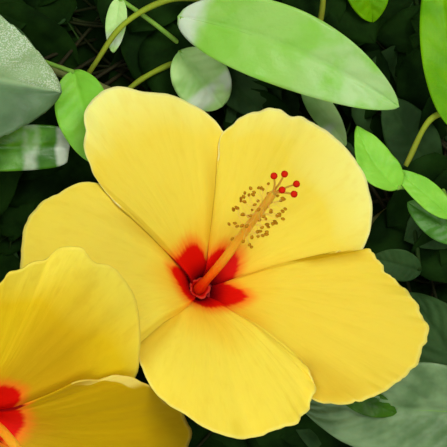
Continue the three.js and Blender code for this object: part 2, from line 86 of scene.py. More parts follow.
def smooth(low: float, high: float, value: float) -> float:
    """A smooth step of value, from 0 at low to 1 at high."""
    part = min(max((value - low) / (high - low), 0.0), 1.0)
    return part * part * (3.0 - 2.0 * part)


def mix(start: float, end: float, part: float) -> float:
    """The number that lies part of the way from start to end."""
    return start + (end - start) * part


def grain(x: float, y: float, z: float) -> float:
    """Smooth noise at a place, about -1 to 1 and the same in every run."""
    return noise.noise(Vector((x, y, z)))


def hump(value: float, middle: float, width: float) -> float:
    """A bell-shaped swelling, 1 at its middle."""
    return math.exp(-(((value - middle) / width) ** 2))


def arc(share: float) -> float:
    """A low arch over a length, 1 half way and 0 at both ends."""
    return 4 * share * (1 - share)


def bearing(direction: Vector) -> float:
    """The angle at which a direction points on the level."""
    return math.atan2(direction.y, direction.x)


def sheet_chart(co: Vector) -> Pair:
    """A sheet's pattern map: over it, or round it where it is rolled, and along it."""
    return co.y, co.x


def bead_chart(co: Vector) -> Pair:
    """A bead's pattern map, which runs from its lower to its upper end."""
    return 0.5, co.z * 0.5 + 0.5


def round_the_axis(angle: float) -> Vector:
    """The level direction at an angle."""
    return Vector((math.cos(angle), math.sin(angle), 0.0))


class Slot(Enum):
    """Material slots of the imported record."""

    BARK = "bark"
    PETAL = "petal"
    GREEN = "green"
    COLUMN = "column"
    LEAF = "leaf"


class Tone(Enum):
    """How a leaf is coloured: lit, shaded and sheened copies of one green, with the light and shade painted
    in.
    """

    BRIGHT = "bright"
    FRESH = "fresh"
    LIME = "lime"
    MIDDLE = "middle"
    GLOSSY = "glossy"
    SHADY = "shady"
    DEEP = "deep"
    SILVER = "silver"
    FROST = "frost"
    PALE = "pale"
    MOSS = "moss"


class Deal:
    """The seeded numbers by which the branch deals out its leaves."""

    MULTIPLIER = 48271
    MODULUS = 2147483647

    def __init__(self, seed: int) -> None:
        """Starts the row of numbers at seed."""
        self.state = seed

    def next(self) -> float:
        """The next number, between 0 and 1."""
        self.state = (self.state * self.MULTIPLIER) % self.MODULUS
        return self.state / self.MODULUS

    def between(self, low: float, more: float) -> float:
        """A number that is low at least, and to which chance adds more at most."""
        return low + more * self.next()


class Path:
    """A centripetal Catmull-Rom curve through points in millimetres, read by its own length."""

    DIVISIONS = 200
    GLANCE = 0.0001
    STEEP = 0.9

    def __init__(self, points: Sequence[Sequence[float]]) -> None:
        """Measures the curve once, so that it can be read evenly.

        Args:
            points: what the curve passes through.
        """
        self.points = [Vector(p) for p in points]
        places = [self.raw(i / self.DIVISIONS) for i in range(self.DIVISIONS + 1)]
        self.lengths = [0.0]
        for a, b in zip(places, places[1:]):
            self.lengths.append(self.lengths[-1] + (b - a).length)
        self.length = self.lengths[-1]

    def raw(self, t: float) -> Vector:
        """The point at parameter t, which doesn't run evenly along the curve.

        Args:
            t: the parameter, 0 to 1.

        Returns:
            The point.
        """
        points = self.points
        last = len(points) - 1
        index = min(int(last * t), last - 1)
        weight = last * t - index
        p1, p2 = points[index], points[index + 1]
        p0 = points[index - 1] if index > 0 else p1 * 2 - p2
        p3 = points[index + 2] if index + 2 <= last else p2 * 2 - p1
        d0, d1, d2 = ((b - a).length ** 0.5 for a, b in ((p0, p1), (p1, p2), (p2, p3)))
        leave = ((p1 - p0) / d0 - (p2 - p0) / (d0 + d1) + (p2 - p1) / d1) * d1
        arrive = ((p2 - p1) / d1 - (p3 - p1) / (d1 + d2) + (p3 - p2) / d2) * d1
        cubic = 2 * p1 - 2 * p2 + leave + arrive
        square = -3 * p1 + 3 * p2 - 2 * leave - arrive
        return p1 + weight * (leave + weight * (square + weight * cubic))

    def parameter(self, part: float) -> float:
        """The parameter at a share of the curve's length.

        Args:
            part: share of the length, 0 to 1.

        Returns:
            The parameter.
        """
        target = min(max(part, 0.0), 1.0) * self.length
        low, high = 0, self.DIVISIONS
        while high - low > 1:
            middle = (low + high) // 2
            if self.lengths[middle] <= target:
                low = middle
            else:
                high = middle
        span = self.lengths[high] - self.lengths[low]
        inside = (target - self.lengths[low]) / span if span > 0 else 0.0
        return (low + inside) / self.DIVISIONS

    def at(self, part: float) -> Vector:
        """The point at a share of the curve's length."""
        return self.raw(self.parameter(part))

    def heading(self, part: float) -> Vector:
        """The curve's direction at a share of its length."""
        t = self.parameter(part)
        return (self.raw(min(t + self.GLANCE, 1.0)) - self.raw(max(t - self.GLANCE, 0.0))).normalized()

    def spaced(self, count: int) -> list[Vector]:
        """count + 1 points evenly along the curve."""
        return [self.at(i / count) for i in range(count + 1)]

    def frames(self, rings: int) -> list[tuple[Vector, Vector, Vector]]:
        """Evenly spaced points with two directions square to the curve, which don't twist.

        Args:
            rings: how many steps the curve is cut into.

        Returns:
            rings + 1 entries of point, first side and second side.
        """
        first = self.heading(0.0)
        side = first.cross(UP if abs(first.z) < self.STEEP else Vector((1.0, 0.0, 0.0))).normalized()
        found = []
        for i in range(rings + 1):
            heading = self.heading(i / rings)
            side = (side - heading * side.dot(heading)).normalized()
            found.append((self.at(i / rings), side, heading.cross(side)))
        return found


@dataclass(frozen=True)
class Blank:
    """A plain shape in stock: its corners and faces."""

    corners: tuple[Vector, ...]
    faces: tuple[tuple[int, ...], ...]


class Stock:
    """Plain shapes modelled once with Blender's own tools, from which the pieces are formed."""

    def __init__(self) -> None:
        """Starts with nothing modelled."""
        self.kept: dict[tuple[object, ...], Blank] = {}

    @staticmethod
    def deselect() -> None:
        """Leaves nothing selected."""
        bpy.ops.object.select_all(action="DESELECT")

    def keep(self, key: tuple[object, ...]) -> None:
        """Takes the shape of the new active object into stock and removes the object.

        Args:
            key: what the shape is kept under.
        """
        mesh = bpy.context.object.data
        corners = tuple(v.co.copy() for v in mesh.vertices)
        faces = tuple(tuple(f.vertices) for f in mesh.polygons)
        bpy.data.objects.remove(bpy.context.object)
        bpy.data.meshes.remove(mesh)
        self.kept[key] = Blank(corners, faces)

    def sheet(self, rows: int, columns: int) -> Blank:
        """A flat grid from 0 to 1 in x (rows) and y (columns).

        Args:
            rows: faces along x.
            columns: faces along y.

        Returns:
            The sheet.
        """
        key = ("sheet", rows, columns)
        if key not in self.kept:
            self.deselect()
            bpy.ops.mesh.primitive_grid_add(x_subdivisions=rows, y_subdivisions=columns, size=1)
            bpy.ops.object.mode_set(mode="EDIT")
            bpy.ops.transform.translate(value=(0.5, 0.5, 0.0))
            bpy.ops.object.mode_set(mode="OBJECT")
            self.keep(key)
        return self.kept[key]

    def bead(self, detail: int) -> Blank:
        """A ball of radius 1.

        Args:
            detail: how often its faces are split.

        Returns:
            The ball.
        """
        key = ("bead", detail)
        if key not in self.kept:
            self.deselect()
            bpy.ops.mesh.primitive_ico_sphere_add(subdivisions=detail, radius=1)
            self.keep(key)
        return self.kept[key]


STOCK = Stock()


class Gathering:
    """Shapes formed from stock and gathered into one mesh, in millimetres."""

    def __init__(self, name: str) -> None:
        """Starts an empty gathering under the name that its piece will have."""
        self.name = name
        self.corners: list[Vector] = []
        self.faces: list[tuple[int, ...]] = []
        self.charts: dict[str, list[Pair]] = {}

    def form(self, blank: Blank, place: Place, **charts: Chart) -> None:
        """Adds a copy of a stock shape with each corner moved.

        Args:
            blank: the stock shape.
            place: gives a corner's place on the branch from its place in stock.
            charts: for each pattern map by name, what gives a corner's two coordinates.
        """
        start = len(self.corners)
        for co in blank.corners:
            moved = place(co)
            moved.z = max(moved.z, 0.0)
            self.corners.append(moved)
        self.faces.extend(tuple(start + i for i in face) for face in blank.faces)
        for name, chart in charts.items():
            self.charts.setdefault(name, []).extend(chart(co) for co in blank.corners)

    def bar(self, path: Path, radius: Radius, sides: int, rings: int) -> None:
        """Adds a round bar along a path.

        Args:
            path: the line that it follows.
            radius: gives the radius from the share of the length and the angle round the bar.
            sides: corners round the bar.
            rings: cuts along the bar.
        """
        frames = path.frames(rings)

        def place(co: Vector) -> Vector:
            """The bar's corner for a corner of the rolled sheet, whose first and last rows close the ends.

            Args:
                co: a corner of the sheet.

            Returns:
                The bar's corner.
            """
            row = round(co.x * (rings + 2))
            ring = min(max(row - 1, 0), rings)
            point, side, other = frames[ring]
            angle = -co.y * math.tau
            reach = radius(ring / rings, angle) if row == ring + 1 else 0.0
            return point + side * (math.cos(angle) * reach) + other * (math.sin(angle) * reach)

        self.form(STOCK.sheet(rings + 2, sides), place, chart=sheet_chart)

    def made(self) -> bpy.types.Object:
        """Makes the gathered mesh an object, in metres and in the shared frame.

        Returns:
            The object.
        """
        mesh = bpy.data.meshes.new(self.name)
        mesh.from_pydata([(co + ORIGIN) * MM for co in self.corners], [], self.faces)
        found = [0] * len(mesh.loops)
        mesh.loops.foreach_get("vertex_index", found)
        for name, values in self.charts.items():
            layer = mesh.uv_layers.new(name=name)
            layer.data.foreach_set("uv", [number for i in found for number in values[i]])
        piece = bpy.data.objects.new(self.name, mesh)
        bpy.context.scene.collection.objects.link(piece)
        return piece


def finished(piece: bpy.types.Object, thickness: float, underside: bool) -> bpy.types.Object:
    """Closes a piece's seams, gives a sheet its thickness and shades the piece smooth.

    Args:
        piece: the piece, a closed body or an open sheet.
        thickness: the wall in millimetres that a sheet gets, half on each side of it.
        underside: whether the wall's lower face takes the next material.

    Returns:
        The same piece.
    """
    Stock.deselect()
    piece.select_set(True)
    bpy.context.view_layer.objects.active = piece
    bpy.ops.object.mode_set(mode="EDIT")
    bpy.ops.mesh.select_all(action="SELECT")
    bpy.ops.mesh.remove_doubles(threshold=WELD)
    if thickness <= 0:
        bpy.ops.mesh.normals_make_consistent(inside=False)
    bpy.ops.object.mode_set(mode="OBJECT")
    if thickness > 0:
        wall = piece.modifiers.new("wall", "SOLIDIFY")
        wall.thickness = thickness * MM
        wall.offset = 0.0
        wall.material_offset = 1 if underside else 0
        bpy.ops.object.modifier_apply(modifier=wall.name)
    bpy.ops.object.shade_smooth()
    return piece


class Finish(Protocol):
    """Anything that can be made a material."""

    def made(self) -> bpy.types.Material:
        """Makes the material."""
        ...


class Wardrobe:
    """Each finish made a material once, and shared by the pieces that wear it."""

    def __init__(self) -> None:
        """Starts with nothing made."""
        self.kept: dict[Finish, bpy.types.Material] = {}

    def take(self, finish: Finish) -> bpy.types.Material:
        """The finish's material, made when it is first taken."""
        if finish not in self.kept:
            self.kept[finish] = finish.made()
        return self.kept[finish]


WARDROBE = Wardrobe()


def delivered(
    shapes: Gathering, slot: Slot, finishes: Sequence[Finish], *nodes: str, thickness: float = 0.0
) -> bpy.types.Object:
    """Makes gathered shapes a piece that rides on the branch, and hides the frame's nodes that it stands for.

    Args:
        shapes: what the piece is made of, closed bodies or open sheets.
        slot: the record's material slot for the piece; not used.
        finishes: the piece's materials, of which a second one goes on the lower face of a wall.
        nodes: the frame's nodes that the piece stands for.
        thickness: the wall in millimetres that sheets get.

    Returns:
        The piece.
    """
    piece = finished(shapes.made(), thickness, len(finishes) > 1)
    for finish in finishes:
        piece.data.materials.append(WARDROBE.take(finish))
    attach(piece, "root")
    if nodes:
        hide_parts(*nodes)
    log.info("%s: %d faces", piece.name, len(piece.data.polygons))
    return piece


def light(colour: Colour) -> Light:
    """A colour given as on a screen (0 to 255), turned to linear light."""
    part = [c / 255 for c in colour]
    made = [c / 12.92 if c <= 0.04045 else ((c + 0.055) / 1.055) ** 2.4 for c in part]
    return made[0], made[1], made[2], 1.0


class Graph:
    """The nodes of one material, added line by line."""

    def __init__(self, name: str, roughness: float, **sockets: float | tuple[float, ...]) -> None:
        """Starts a material whose shader has these values on its own sockets.

        Args:
            name: the material's name.
            roughness: the shader's roughness.
            sockets: more of the shader's sockets, with _ for each space in a name.
        """
        self.material = bpy.data.materials.new(name)
        self.material.use_nodes = True
        self.nodes = self.material.node_tree.nodes
        self.links = self.material.node_tree.links
        self.shader = self.nodes["Principled BSDF"]
        self.shader.inputs["Roughness"].default_value = roughness
        for socket, value in sockets.items():
            self.shader.inputs[socket.replace("_", " ")].default_value = value

    def join(self, value: Socket | float | tuple[float, ...], target: Socket) -> None:
        """Links a socket to the target, or sets the target's own value.

        Args:
            value: a socket, or a value of its own.
            target: the socket that takes it.
        """
        if isinstance(value, bpy.types.NodeSocket):
            self.links.new(value, target)
        else:
            target.default_value = value

    def maths(self, operation: str, first: Socket, second: Socket | float) -> Socket:
        """A Math node.

        Args:
            operation: what it works out.
            first: its first number.
            second: its second number.

        Returns:
            The result.
        """
        node = self.nodes.new("ShaderNodeMath")
        node.operation = operation
        self.join(first, node.inputs[0])
        self.join(second, node.inputs[1])
        return node.outputs[0]

    def times(self, first: Socket, second: Socket | float) -> Socket:
        """A product."""
        return self.maths("MULTIPLY", first, second)

    def swung(self, value: Socket, cloud: Socket, swing: float) -> Socket:
        """A value that noise moves up and down, by half of swing at most."""
        return self.maths("ADD", value, self.times(self.maths("SUBTRACT", cloud, 0.5), swing))

    def chart(self, name: str) -> tuple[Socket, Socket]:
        """The two coordinates of one of the piece's own pattern maps.

        Args:
            name: the map's name.

        Returns:
            The first and the second coordinate.
        """
        layer = self.nodes.new("ShaderNodeUVMap")
        layer.uv_map = name
        split = self.nodes.new("ShaderNodeSeparateXYZ")
        self.links.new(layer.outputs[0], split.inputs[0])
        return split.outputs[0], split.outputs[1]

    def vector(self, x: Socket | float, y: Socket | float, z: Socket | float) -> Socket:
        """Three numbers as a vector."""
        node = self.nodes.new("ShaderNodeCombineXYZ")
        for value, target in zip((x, y, z), node.inputs):
            self.join(value, target)
        return node.outputs[0]

    def place(self) -> Socket:
        """The place on the object."""
        return self.nodes.new("ShaderNodeTexCoord").outputs["Object"]

    def grain(self, where: Socket, scale: float, detail: float) -> Socket:
        """Noise, about 0 to 1.

        Args:
            where: the place in the noise.
            scale: how fine it is.
            detail: how many finer layers it has.

        Returns:
            The noise.
        """
        node = self.nodes.new("ShaderNodeTexNoise")
        node.inputs["Scale"].default_value = scale
        node.inputs["Detail"].default_value = detail
        self.links.new(where, node.inputs["Vector"])
        return node.outputs["Fac"]

    def step(self, value: Socket, low: float, high: float) -> Socket:
        """A smooth step of value, from 0 at low to 1 at high.

        Args:
            value: what rises.
            low: where the step starts.
            high: where it ends.

        Returns:
            The step.
        """
        node = self.nodes.new("ShaderNodeMapRange")
        node.interpolation_type = "SMOOTHSTEP"
        self.links.new(value, node.inputs["Value"])
        node.inputs["From Min"].default_value = low
        node.inputs["From Max"].default_value = high
        return node.outputs["Result"]

    def laid_out(self, value: Socket, entries: Sequence[tuple[float, Light]], curve: str) -> Socket:
        """A Color Ramp node with these places and linear colours, and this curve between them.

        Args:
            value: what picks a colour.
            entries: places with their colours.
            curve: how one goes over into the next.

        Returns:
            The colour.
        """
        node = self.nodes.new("ShaderNodeValToRGB")
        node.color_ramp.interpolation = curve
        self.links.new(value, node.inputs[0])
        made = node.color_ramp.elements
        while len(made) < len(entries):
            made.new(1.0)
        for entry, (place, colour) in zip(made, entries):
            entry.position = place
            entry.color = colour
        return node.outputs[0]

    def ramp(self, value: Socket, *stops: tuple[float, Colour]) -> Socket:
        """Colours laid out along a value."""
        return self.laid_out(value, [(place, light(colour)) for place, colour in stops], "LINEAR")

    def window(self, value: Socket, edges: Edges) -> Socket:
        """One between the two middle edges, falling to nothing at the outer two."""
        rise = self.step(value, edges[0], edges[1])
        return self.maths("MINIMUM", rise, self.step(value, edges[3], edges[2]))

    def profile(self, value: Socket, heights: Sequence[float]) -> Socket:
        """A smooth curve through heights that stand evenly between 0 and 1."""
        count = len(heights)
        entries = [((i + 0.5) / count, (height, height, height, 1.0)) for i, height in enumerate(heights)]
        return self.laid_out(value, entries, "CARDINAL")

    def blend(self, part: Socket, first: Socket | Colour, second: Socket | Colour) -> Socket:
        """One colour going over into another.

        Args:
            part: how much of the second colour shows.
            first: the first colour.
            second: the second colour.

        Returns:
            The colour.
        """
        node = self.nodes.new("ShaderNodeMix")
        node.data_type = "RGBA"
        self.links.new(part, node.inputs["Factor"])
        for value, target in ((first, node.inputs[6]), (second, node.inputs[7])):
            self.join(light(value) if isinstance(value, tuple) else value, target)
        return node.outputs[2]

    def bump(self, height: Socket, distance: float, below: Socket | None = None) -> Socket:
        """Relief from a height, distance in millimetres, over the relief below it.

        Args:
            height: the relief, 0 to 1.
            distance: its full height in millimetres.
            below: the relief that it lies on.

        Returns:
            The relief.
        """
        node = self.nodes.new("ShaderNodeBump")
        node.inputs["Distance"].default_value = distance * MM
        self.links.new(height, node.inputs["Height"])
        if below is not None:
            self.links.new(below, node.inputs["Normal"])
        return node.outputs[0]

    def dress(self, colour: Socket, relief: Socket) -> bpy.types.Material:
        """Gives the shader its colour and relief, and returns the material."""
        self.links.new(colour, self.shader.inputs["Base Color"])
        self.links.new(relief, self.shader.inputs["Normal"])
        return self.material


@dataclass(frozen=True)
class PetalTones:
    """The yellows of one bloom's petals, from the eye outwards, with their veins and the rim, a pale edge
    painted as a highlight.
    """

    near: Colour
    middle: Colour
    outer: Colour
    rim: Colour
    vein: Colour


# Lit and shaded copies of one petal yellow, with the light painted in: the pale-sun copy's outer blade is
# painted sunlit, the sunny and soft-sun copies are lit copies, a deeper golden copy is for a petal that lies
# half in painted shade, and the shaded copy is painted shade throughout.
PALE_SUN = PetalTones((250, 192, 40), (250, 218, 68), (255, 250, 142), (255, 248, 170), (236, 196, 36))
SUNNY = PetalTones((250, 190, 40), (246, 211, 62), (240, 210, 66), (255, 238, 128), (228, 187, 32))
SOFT_SUN = PetalTones((252, 196, 46), (255, 224, 74), (250, 222, 74), (255, 238, 128), (232, 192, 34))
HALF_SHADED = PetalTones((226, 160, 0), (236, 198, 18), (255, 236, 88), (244, 218, 88), (202, 156, 2))
SHADED = PetalTones((206, 142, 0), (198, 160, 0), (190, 156, 0), (236, 210, 96), (170, 130, 0))


@dataclass(frozen=True)
class PaintedShade:
    """Painted shade on a petal, the shadow that an overlapping petal or the other bloom casts: where it rises
    and falls across and along the petal, and its depth.
    """

    across: Edges
    along: Edges
    depth: float


@dataclass(frozen=True)
class PetalFinish:
    """Thin yellow petal: fine veins that fan out, a crimson eye with an orange halo at its base, painted
    shade where other petals shadow it, and a pale rim painted as a highlight.
    """

    seed: float
    eye: tuple[float, ...]
    tones: PetalTones
    painted_shades: tuple[PaintedShade, ...]
    rolled_highlight: Edges
    crease: float
    halo: Colour = (255, 132, 26)
    crimson: Colour = (226, 14, 0)
    maroon: Colour = (132, 0, 8)
    shadow_olive: Colour = (206, 164, 12)

    def made(self) -> bpy.types.Material:
        """Makes the material from the petal's flat plan (in decimetres) and its span.

        Returns:
            The material.
        """
        graph = Graph("petal", 0.55, Specular_IOR_Level=0.1, Subsurface_Weight=0.3)
        graph.shader.inputs["Subsurface Radius"].default_value = (1.0, 0.6, 0.15)
        graph.shader.inputs["Subsurface Scale"].default_value = 1.6 * MM
        u, v = graph.chart("plan")
        x = graph.maths("SUBTRACT", u, 0.5)
        square = graph.maths("ADD", graph.times(x, x), graph.times(v, v))
        reach = graph.maths("POWER", square, 0.5)
        turn = graph.maths("ARCTAN2", x, v)
        along, across = graph.chart("span")
        strand = graph.grain(graph.vector(across, graph.times(along, 0.35), self.seed), 26.0, 3.0)
        thread = graph.grain(graph.vector(across, graph.times(along, 0.12), self.seed + 3), 90.0, 2.0)
        cloud = graph.grain(graph.vector(across, along, self.seed + 7), 3.0, 1.0)
        yellow = self.yellow(graph, graph.swung(reach, cloud, 0.25), strand, thread, along, across)
        eyed = self.eyed(graph, yellow, reach, turn, across, strand)
        return graph.dress(eyed, graph.bump(thread, 0.05, graph.bump(strand, 0.1)))

    def yellow(
        self, graph: Graph, reach: Socket, strand: Socket, thread: Socket, along: Socket, across: Socket
    ) -> Socket:
        """The blade's yellows with its veins, painted shade from the petals over it and a pale rim painted as
        a highlight.

        Args:
            graph: the material's nodes.
            reach: distance from the petal's foot, made uneven.
            strand: coarse veins.
            thread: fine veins.
            along: share of the way out to the margin.
            across: share of the way over the petal.

        Returns:
            The colour.
        """
        near, middle, outer = self.tones.near, self.tones.middle, self.tones.outer
        plain = graph.ramp(reach, (0.14, near), (0.32, middle), (0.55, middle), (0.78, outer), (0.95, outer))
        veined = graph.blend(graph.times(graph.step(strand, 0.48, 0.75), 0.2), plain, self.tones.vein)
        veined = graph.blend(graph.times(graph.step(thread, 0.5, 0.8), 0.12), veined, self.tones.vein)
        # Painted shade: olive laid over the fields that other petals shadow.
        for shade in self.painted_shades:
            shadow_field = graph.times(graph.window(across, shade.across), graph.window(along, shade.along))
            veined = graph.blend(graph.times(shadow_field, shade.depth), veined, self.shadow_olive)
        # Painted highlight: a pale strip along a turned margin and a pale rim at the outer edge.
        rolled_glint = graph.times(graph.window(across, self.rolled_highlight), graph.step(along, 0.915, 0.93))
        rim = graph.maths("MAXIMUM", graph.times(graph.step(along, 0.975, 1.0), 0.6), rolled_glint)
        return graph.blend(rim, veined, self.tones.rim)

    def eyed(
        self, graph: Graph, yellow: Socket, reach: Socket, turn: Socket, across: Socket, strand: Socket
    ) -> Socket:
        """The colour with the crimson eye and its halo over it; the crimson deepens to maroon in the throat
        and along the crease, partly the eye's own darker red and partly painted shade.

        Args:
            graph: the material's nodes.
            yellow: the blade's colour.
            reach: distance from the petal's foot.
            turn: angle round the petal's foot.
            across: share of the way over the petal.
            strand: coarse veins, which fray the eye's edge.

        Returns:
            The colour.
        """
        around = graph.maths("ADD", graph.times(turn, 0.5), 0.5)
        outline = graph.profile(around, [radius * 0.01 for radius in self.eye])
        crease = graph.times(graph.step(across, 0.06, 0.01), self.crease * 0.01)
        edge = graph.swung(graph.maths("ADD", outline, crease), strand, 0.03)
        inside = graph.maths("SUBTRACT", edge, reach)
        glow = graph.blend(graph.step(inside, -0.06, 0.004), yellow, self.halo)
        # Maroon in the throat and along the crease: partly the eye's own darker red, partly painted shade in
        # these hollows.
        side = graph.times(graph.step(across, 0.09, 0.01), min(self.crease, 1.0))
        deep = graph.maths("MAXIMUM", graph.step(reach, 0.15, 0.05), side)
        red = graph.blend(deep, self.crimson, self.maroon)
        return graph.blend(graph.step(inside, -0.012, 0.012), glow, red)


@dataclass(frozen=True)
class LeafFinish:
    """A leaf's skin: one base colour with a little mottling, fine pitting and a waxy gloss.

    The upper half may be painted lighter as the sunlit side and flecked with painted glints, and painted
    glints may lie across the blade.
    """

    name: str
    colour: Colour
    mottle: Colour
    roughness: float
    gloss: float
    specular: float = 0.25
    upper: Colour | None = None
    painted_glints: tuple[tuple[Edges, float], ...] = ()

    GLINT_WHITE = (212, 226, 200)

    def made(self) -> bpy.types.Material:
        """Makes the material.

        Returns:
            The material.
        """
        graph = Graph(self.name, self.roughness, Coat_Weight=self.gloss, Coat_Roughness=0.28)
        graph.shader.inputs["Subsurface Weight"].default_value = 0.1
        graph.shader.inputs["Specular IOR Level"].default_value = self.specular
        graph.shader.inputs["Subsurface Scale"].default_value = 1.0 * MM
        patches = graph.grain(graph.place(), 90.0, 3.0)
        cells = graph.grain(graph.place(), 900.0, 2.0)
        colour = graph.blend(graph.step(patches, 0.35, 0.65), self.colour, self.mottle)
        side, along = graph.chart("chart")
        # Painted light: the upper half lighter as the sunlit side, flecked with painted glints.
        if self.upper:
            colour = graph.blend(graph.step(side, 0.47, 0.53), colour, self.upper)
            fine = graph.grain(graph.place(), 2400.0, 1.0)
            glint_flecks = graph.times(graph.step(fine, 0.46, 0.62), graph.step(side, 0.5, 0.56))
            glint_band = graph.times(glint_flecks, graph.step(patches, 0.3, 0.6))
            colour = graph.blend(graph.times(glint_band, 0.75), colour, self.GLINT_WHITE)
        # Painted glints lying across the blade.
        for glint_span, glint_strength in self.painted_glints:
            glint = graph.window(graph.swung(along, patches, 0.1), glint_span)
            glint = graph.times(glint, graph.step(patches, 0.3, 0.55))
            colour = graph.blend(graph.times(glint, glint_strength), colour, self.GLINT_WHITE)
        relief = graph.bump(cells, 0.12, graph.bump(patches, 0.5))
        return graph.dress(colour, relief)


@dataclass(frozen=True)
class BarkFinish:
    """Thin bark of a young limb: brown over green, streaked along the limb and pitted."""

    brown: Colour = (124, 98, 62)
    green: Colour = (112, 122, 62)
    pale: Colour = (176, 160, 118)

    def made(self) -> bpy.types.Material:
        """Makes the material from the limb's own chart.

        Returns:
            The material.
        """
        graph = Graph("bark", 0.78, Specular_IOR_Level=0.25)
        round_, along = graph.chart("chart")
        streaks = graph.grain(graph.vector(round_, graph.times(along, 2.0), 0.5), 14.0, 4.0)
        patches = graph.grain(graph.place(), 60.0, 3.0)
        specks = graph.grain(graph.place(), 700.0, 2.0)
        colour = graph.blend(graph.step(patches, 0.4, 0.6), self.green, self.brown)
        colour = graph.blend(graph.times(graph.step(specks, 0.62, 0.72), 0.7), colour, self.pale)
        relief = graph.bump(specks, 0.2, graph.bump(streaks, 0.4))
        return graph.dress(colour, relief)


@dataclass(frozen=True)
class FleshFinish:
    """A soft plant surface whose colour changes along its own chart, with fine relief."""

    name: str
    stops: tuple[tuple[float, Colour], ...]
    roughness: float = 0.5
    grain: float = 500.0
    depth: float = 0.12
    glow: float = 0.2

    def made(self) -> bpy.types.Material:
        """Makes the material.

        Returns:
            The material.
        """
        graph = Graph(self.name, self.roughness, Specular_IOR_Level=0.12, Subsurface_Weight=self.glow)
        graph.shader.inputs["Subsurface Scale"].default_value = 1.0 * MM
        _, along = graph.chart("chart")
        cells = graph.grain(graph.place(), self.grain, 2.0)
        colour = graph.ramp(graph.swung(along, cells, 0.12), *self.stops)
        return graph.dress(colour, graph.bump(cells, self.depth))


# Where painted glints lie along a leaf, as shares of its length, with their strength.
GLINT_ENDS = (((0.0, 0.03, 0.08, 0.14), 0.85), ((0.45, 0.8, 1.1, 1.2), 0.26))
GLINT_BANDS = (((0.77, 0.81, 0.83, 0.88), 0.6), ((0.94, 0.965, 1.1, 1.2), 0.8))
GLINT_PATCH = (((0.6, 0.7, 0.82, 0.94), 0.8),)
# Lit and shaded copies of one leaf green, with light and shade painted in: bright and fresh are painted
# sunlit, shady, deep and moss are painted shade, silver and frost a painted grey sheen, pale is painted light
# with a glint patch, and glossy carries painted glint bands.
SKINS = {
    Tone.BRIGHT: LeafFinish("leaf_bright", (134, 198, 62), (148, 202, 84), 0.42, 0.12, painted_glints=GLINT_ENDS),
    Tone.FRESH: LeafFinish("leaf_fresh", (142, 212, 62), (124, 198, 50), 0.5, 0.05),
    Tone.LIME: LeafFinish("leaf_lime", (112, 174, 0), (90, 156, 0), 0.5, 0.04, 0.1),
    Tone.MIDDLE: LeafFinish("leaf_middle", (78, 138, 40), (60, 114, 28), 0.45, 0.1),
    Tone.GLOSSY: LeafFinish("leaf_glossy", (92, 156, 34), (56, 112, 16), 0.32, 0.2, painted_glints=GLINT_BANDS),
    Tone.SHADY: LeafFinish("leaf_shady", (60, 92, 46), (40, 68, 30), 0.6, 0.0, 0.08),
    Tone.DEEP: LeafFinish("leaf_deep", (27, 54, 13), (14, 34, 7), 0.7, 0.0, 0.03),
    Tone.SILVER: LeafFinish("leaf_silver", (122, 152, 102), (90, 122, 74), 0.5, 0.06, 0.2),
    Tone.FROST: LeafFinish("leaf_frost", (96, 128, 84), (80, 110, 70), 0.5, 0.06, 0.2, (146, 178, 122)),
    Tone.PALE: LeafFinish("leaf_pale", (188, 230, 138), (152, 206, 104), 0.5, 0.1, painted_glints=GLINT_PATCH),
    Tone.MOSS: LeafFinish("leaf_moss", (60, 106, 14), (36, 74, 6), 0.5, 0.06, 0.15),
}
BARK = BarkFinish()
UNDERSIDE = LeafFinish("leaf_underside", (104, 138, 78), (88, 122, 66), 0.62, 0.0)
STALK = FleshFinish("stalk_green", ((0.0, (120, 132, 50)), (0.4, (136, 160, 58)), (1.0, (150, 182, 66))))
RIB = FleshFinish("rib", ((0.0, (128, 170, 60)), (1.0, (128, 176, 66))), 0.6)
# Painted shade: the twigs and the stalks of the shade leaves are darkened as if in shade.
TWIG = FleshFinish("twig", ((0.0, (46, 42, 23)), (0.5, (38, 44, 18)), (1.0, (44, 58, 21))), 0.7)
PETIOLE = FleshFinish("petiole", ((0.0, (44, 70, 22)), (1.0, (34, 58, 16))), 0.7)
SHOOT = FleshFinish("shoot", ((0.0, (104, 122, 30)), (0.5, (150, 172, 42)), (1.0, (132, 138, 40))), 0.6)
CALYX = FleshFinish("calyx", ((0.0, (104, 136, 52)), (0.6, (128, 162, 62)), (1.0, (156, 184, 80))), 0.6)
WOOD = FleshFinish("cut_wood", ((0.0, (222, 208, 160)), (1.0, (206, 188, 136))), 0.8, 300.0, 0.2, 0.0)
SHAFT_LOW = ((0.0, (236, 30, 4)), (0.1, (255, 62, 4)), (0.24, (255, 120, 14)))
SHAFT_HIGH = ((0.42, (255, 180, 44)), (1.0, (255, 190, 60)))
SHAFT = FleshFinish("column", SHAFT_LOW + SHAFT_HIGH, 0.5, glow=0.9)
COLLAR = FleshFinish("collar", ((0.0, (164, 4, 4)), (0.6, (206, 24, 10)), (0.95, (226, 74, 50))), 0.45, 800.0)
FILAMENT = FleshFinish("filament", ((0.0, (255, 190, 84)), (1.0, (255, 222, 116))))
ANTHER = FleshFinish("anther", ((0.0, (176, 116, 6)), (1.0, (206, 146, 20))), 0.75, 1500.0, 0.15, 0.0)
STYLE = FleshFinish("style", ((0.0, (255, 170, 70)), (0.4, (232, 176, 64)), (1.0, (214, 168, 52))))
STIGMA = FleshFinish("stigma", ((0.0, (186, 10, 0)), (1.0, (214, 30, 0))), 0.7, 1500.0, 0.2)


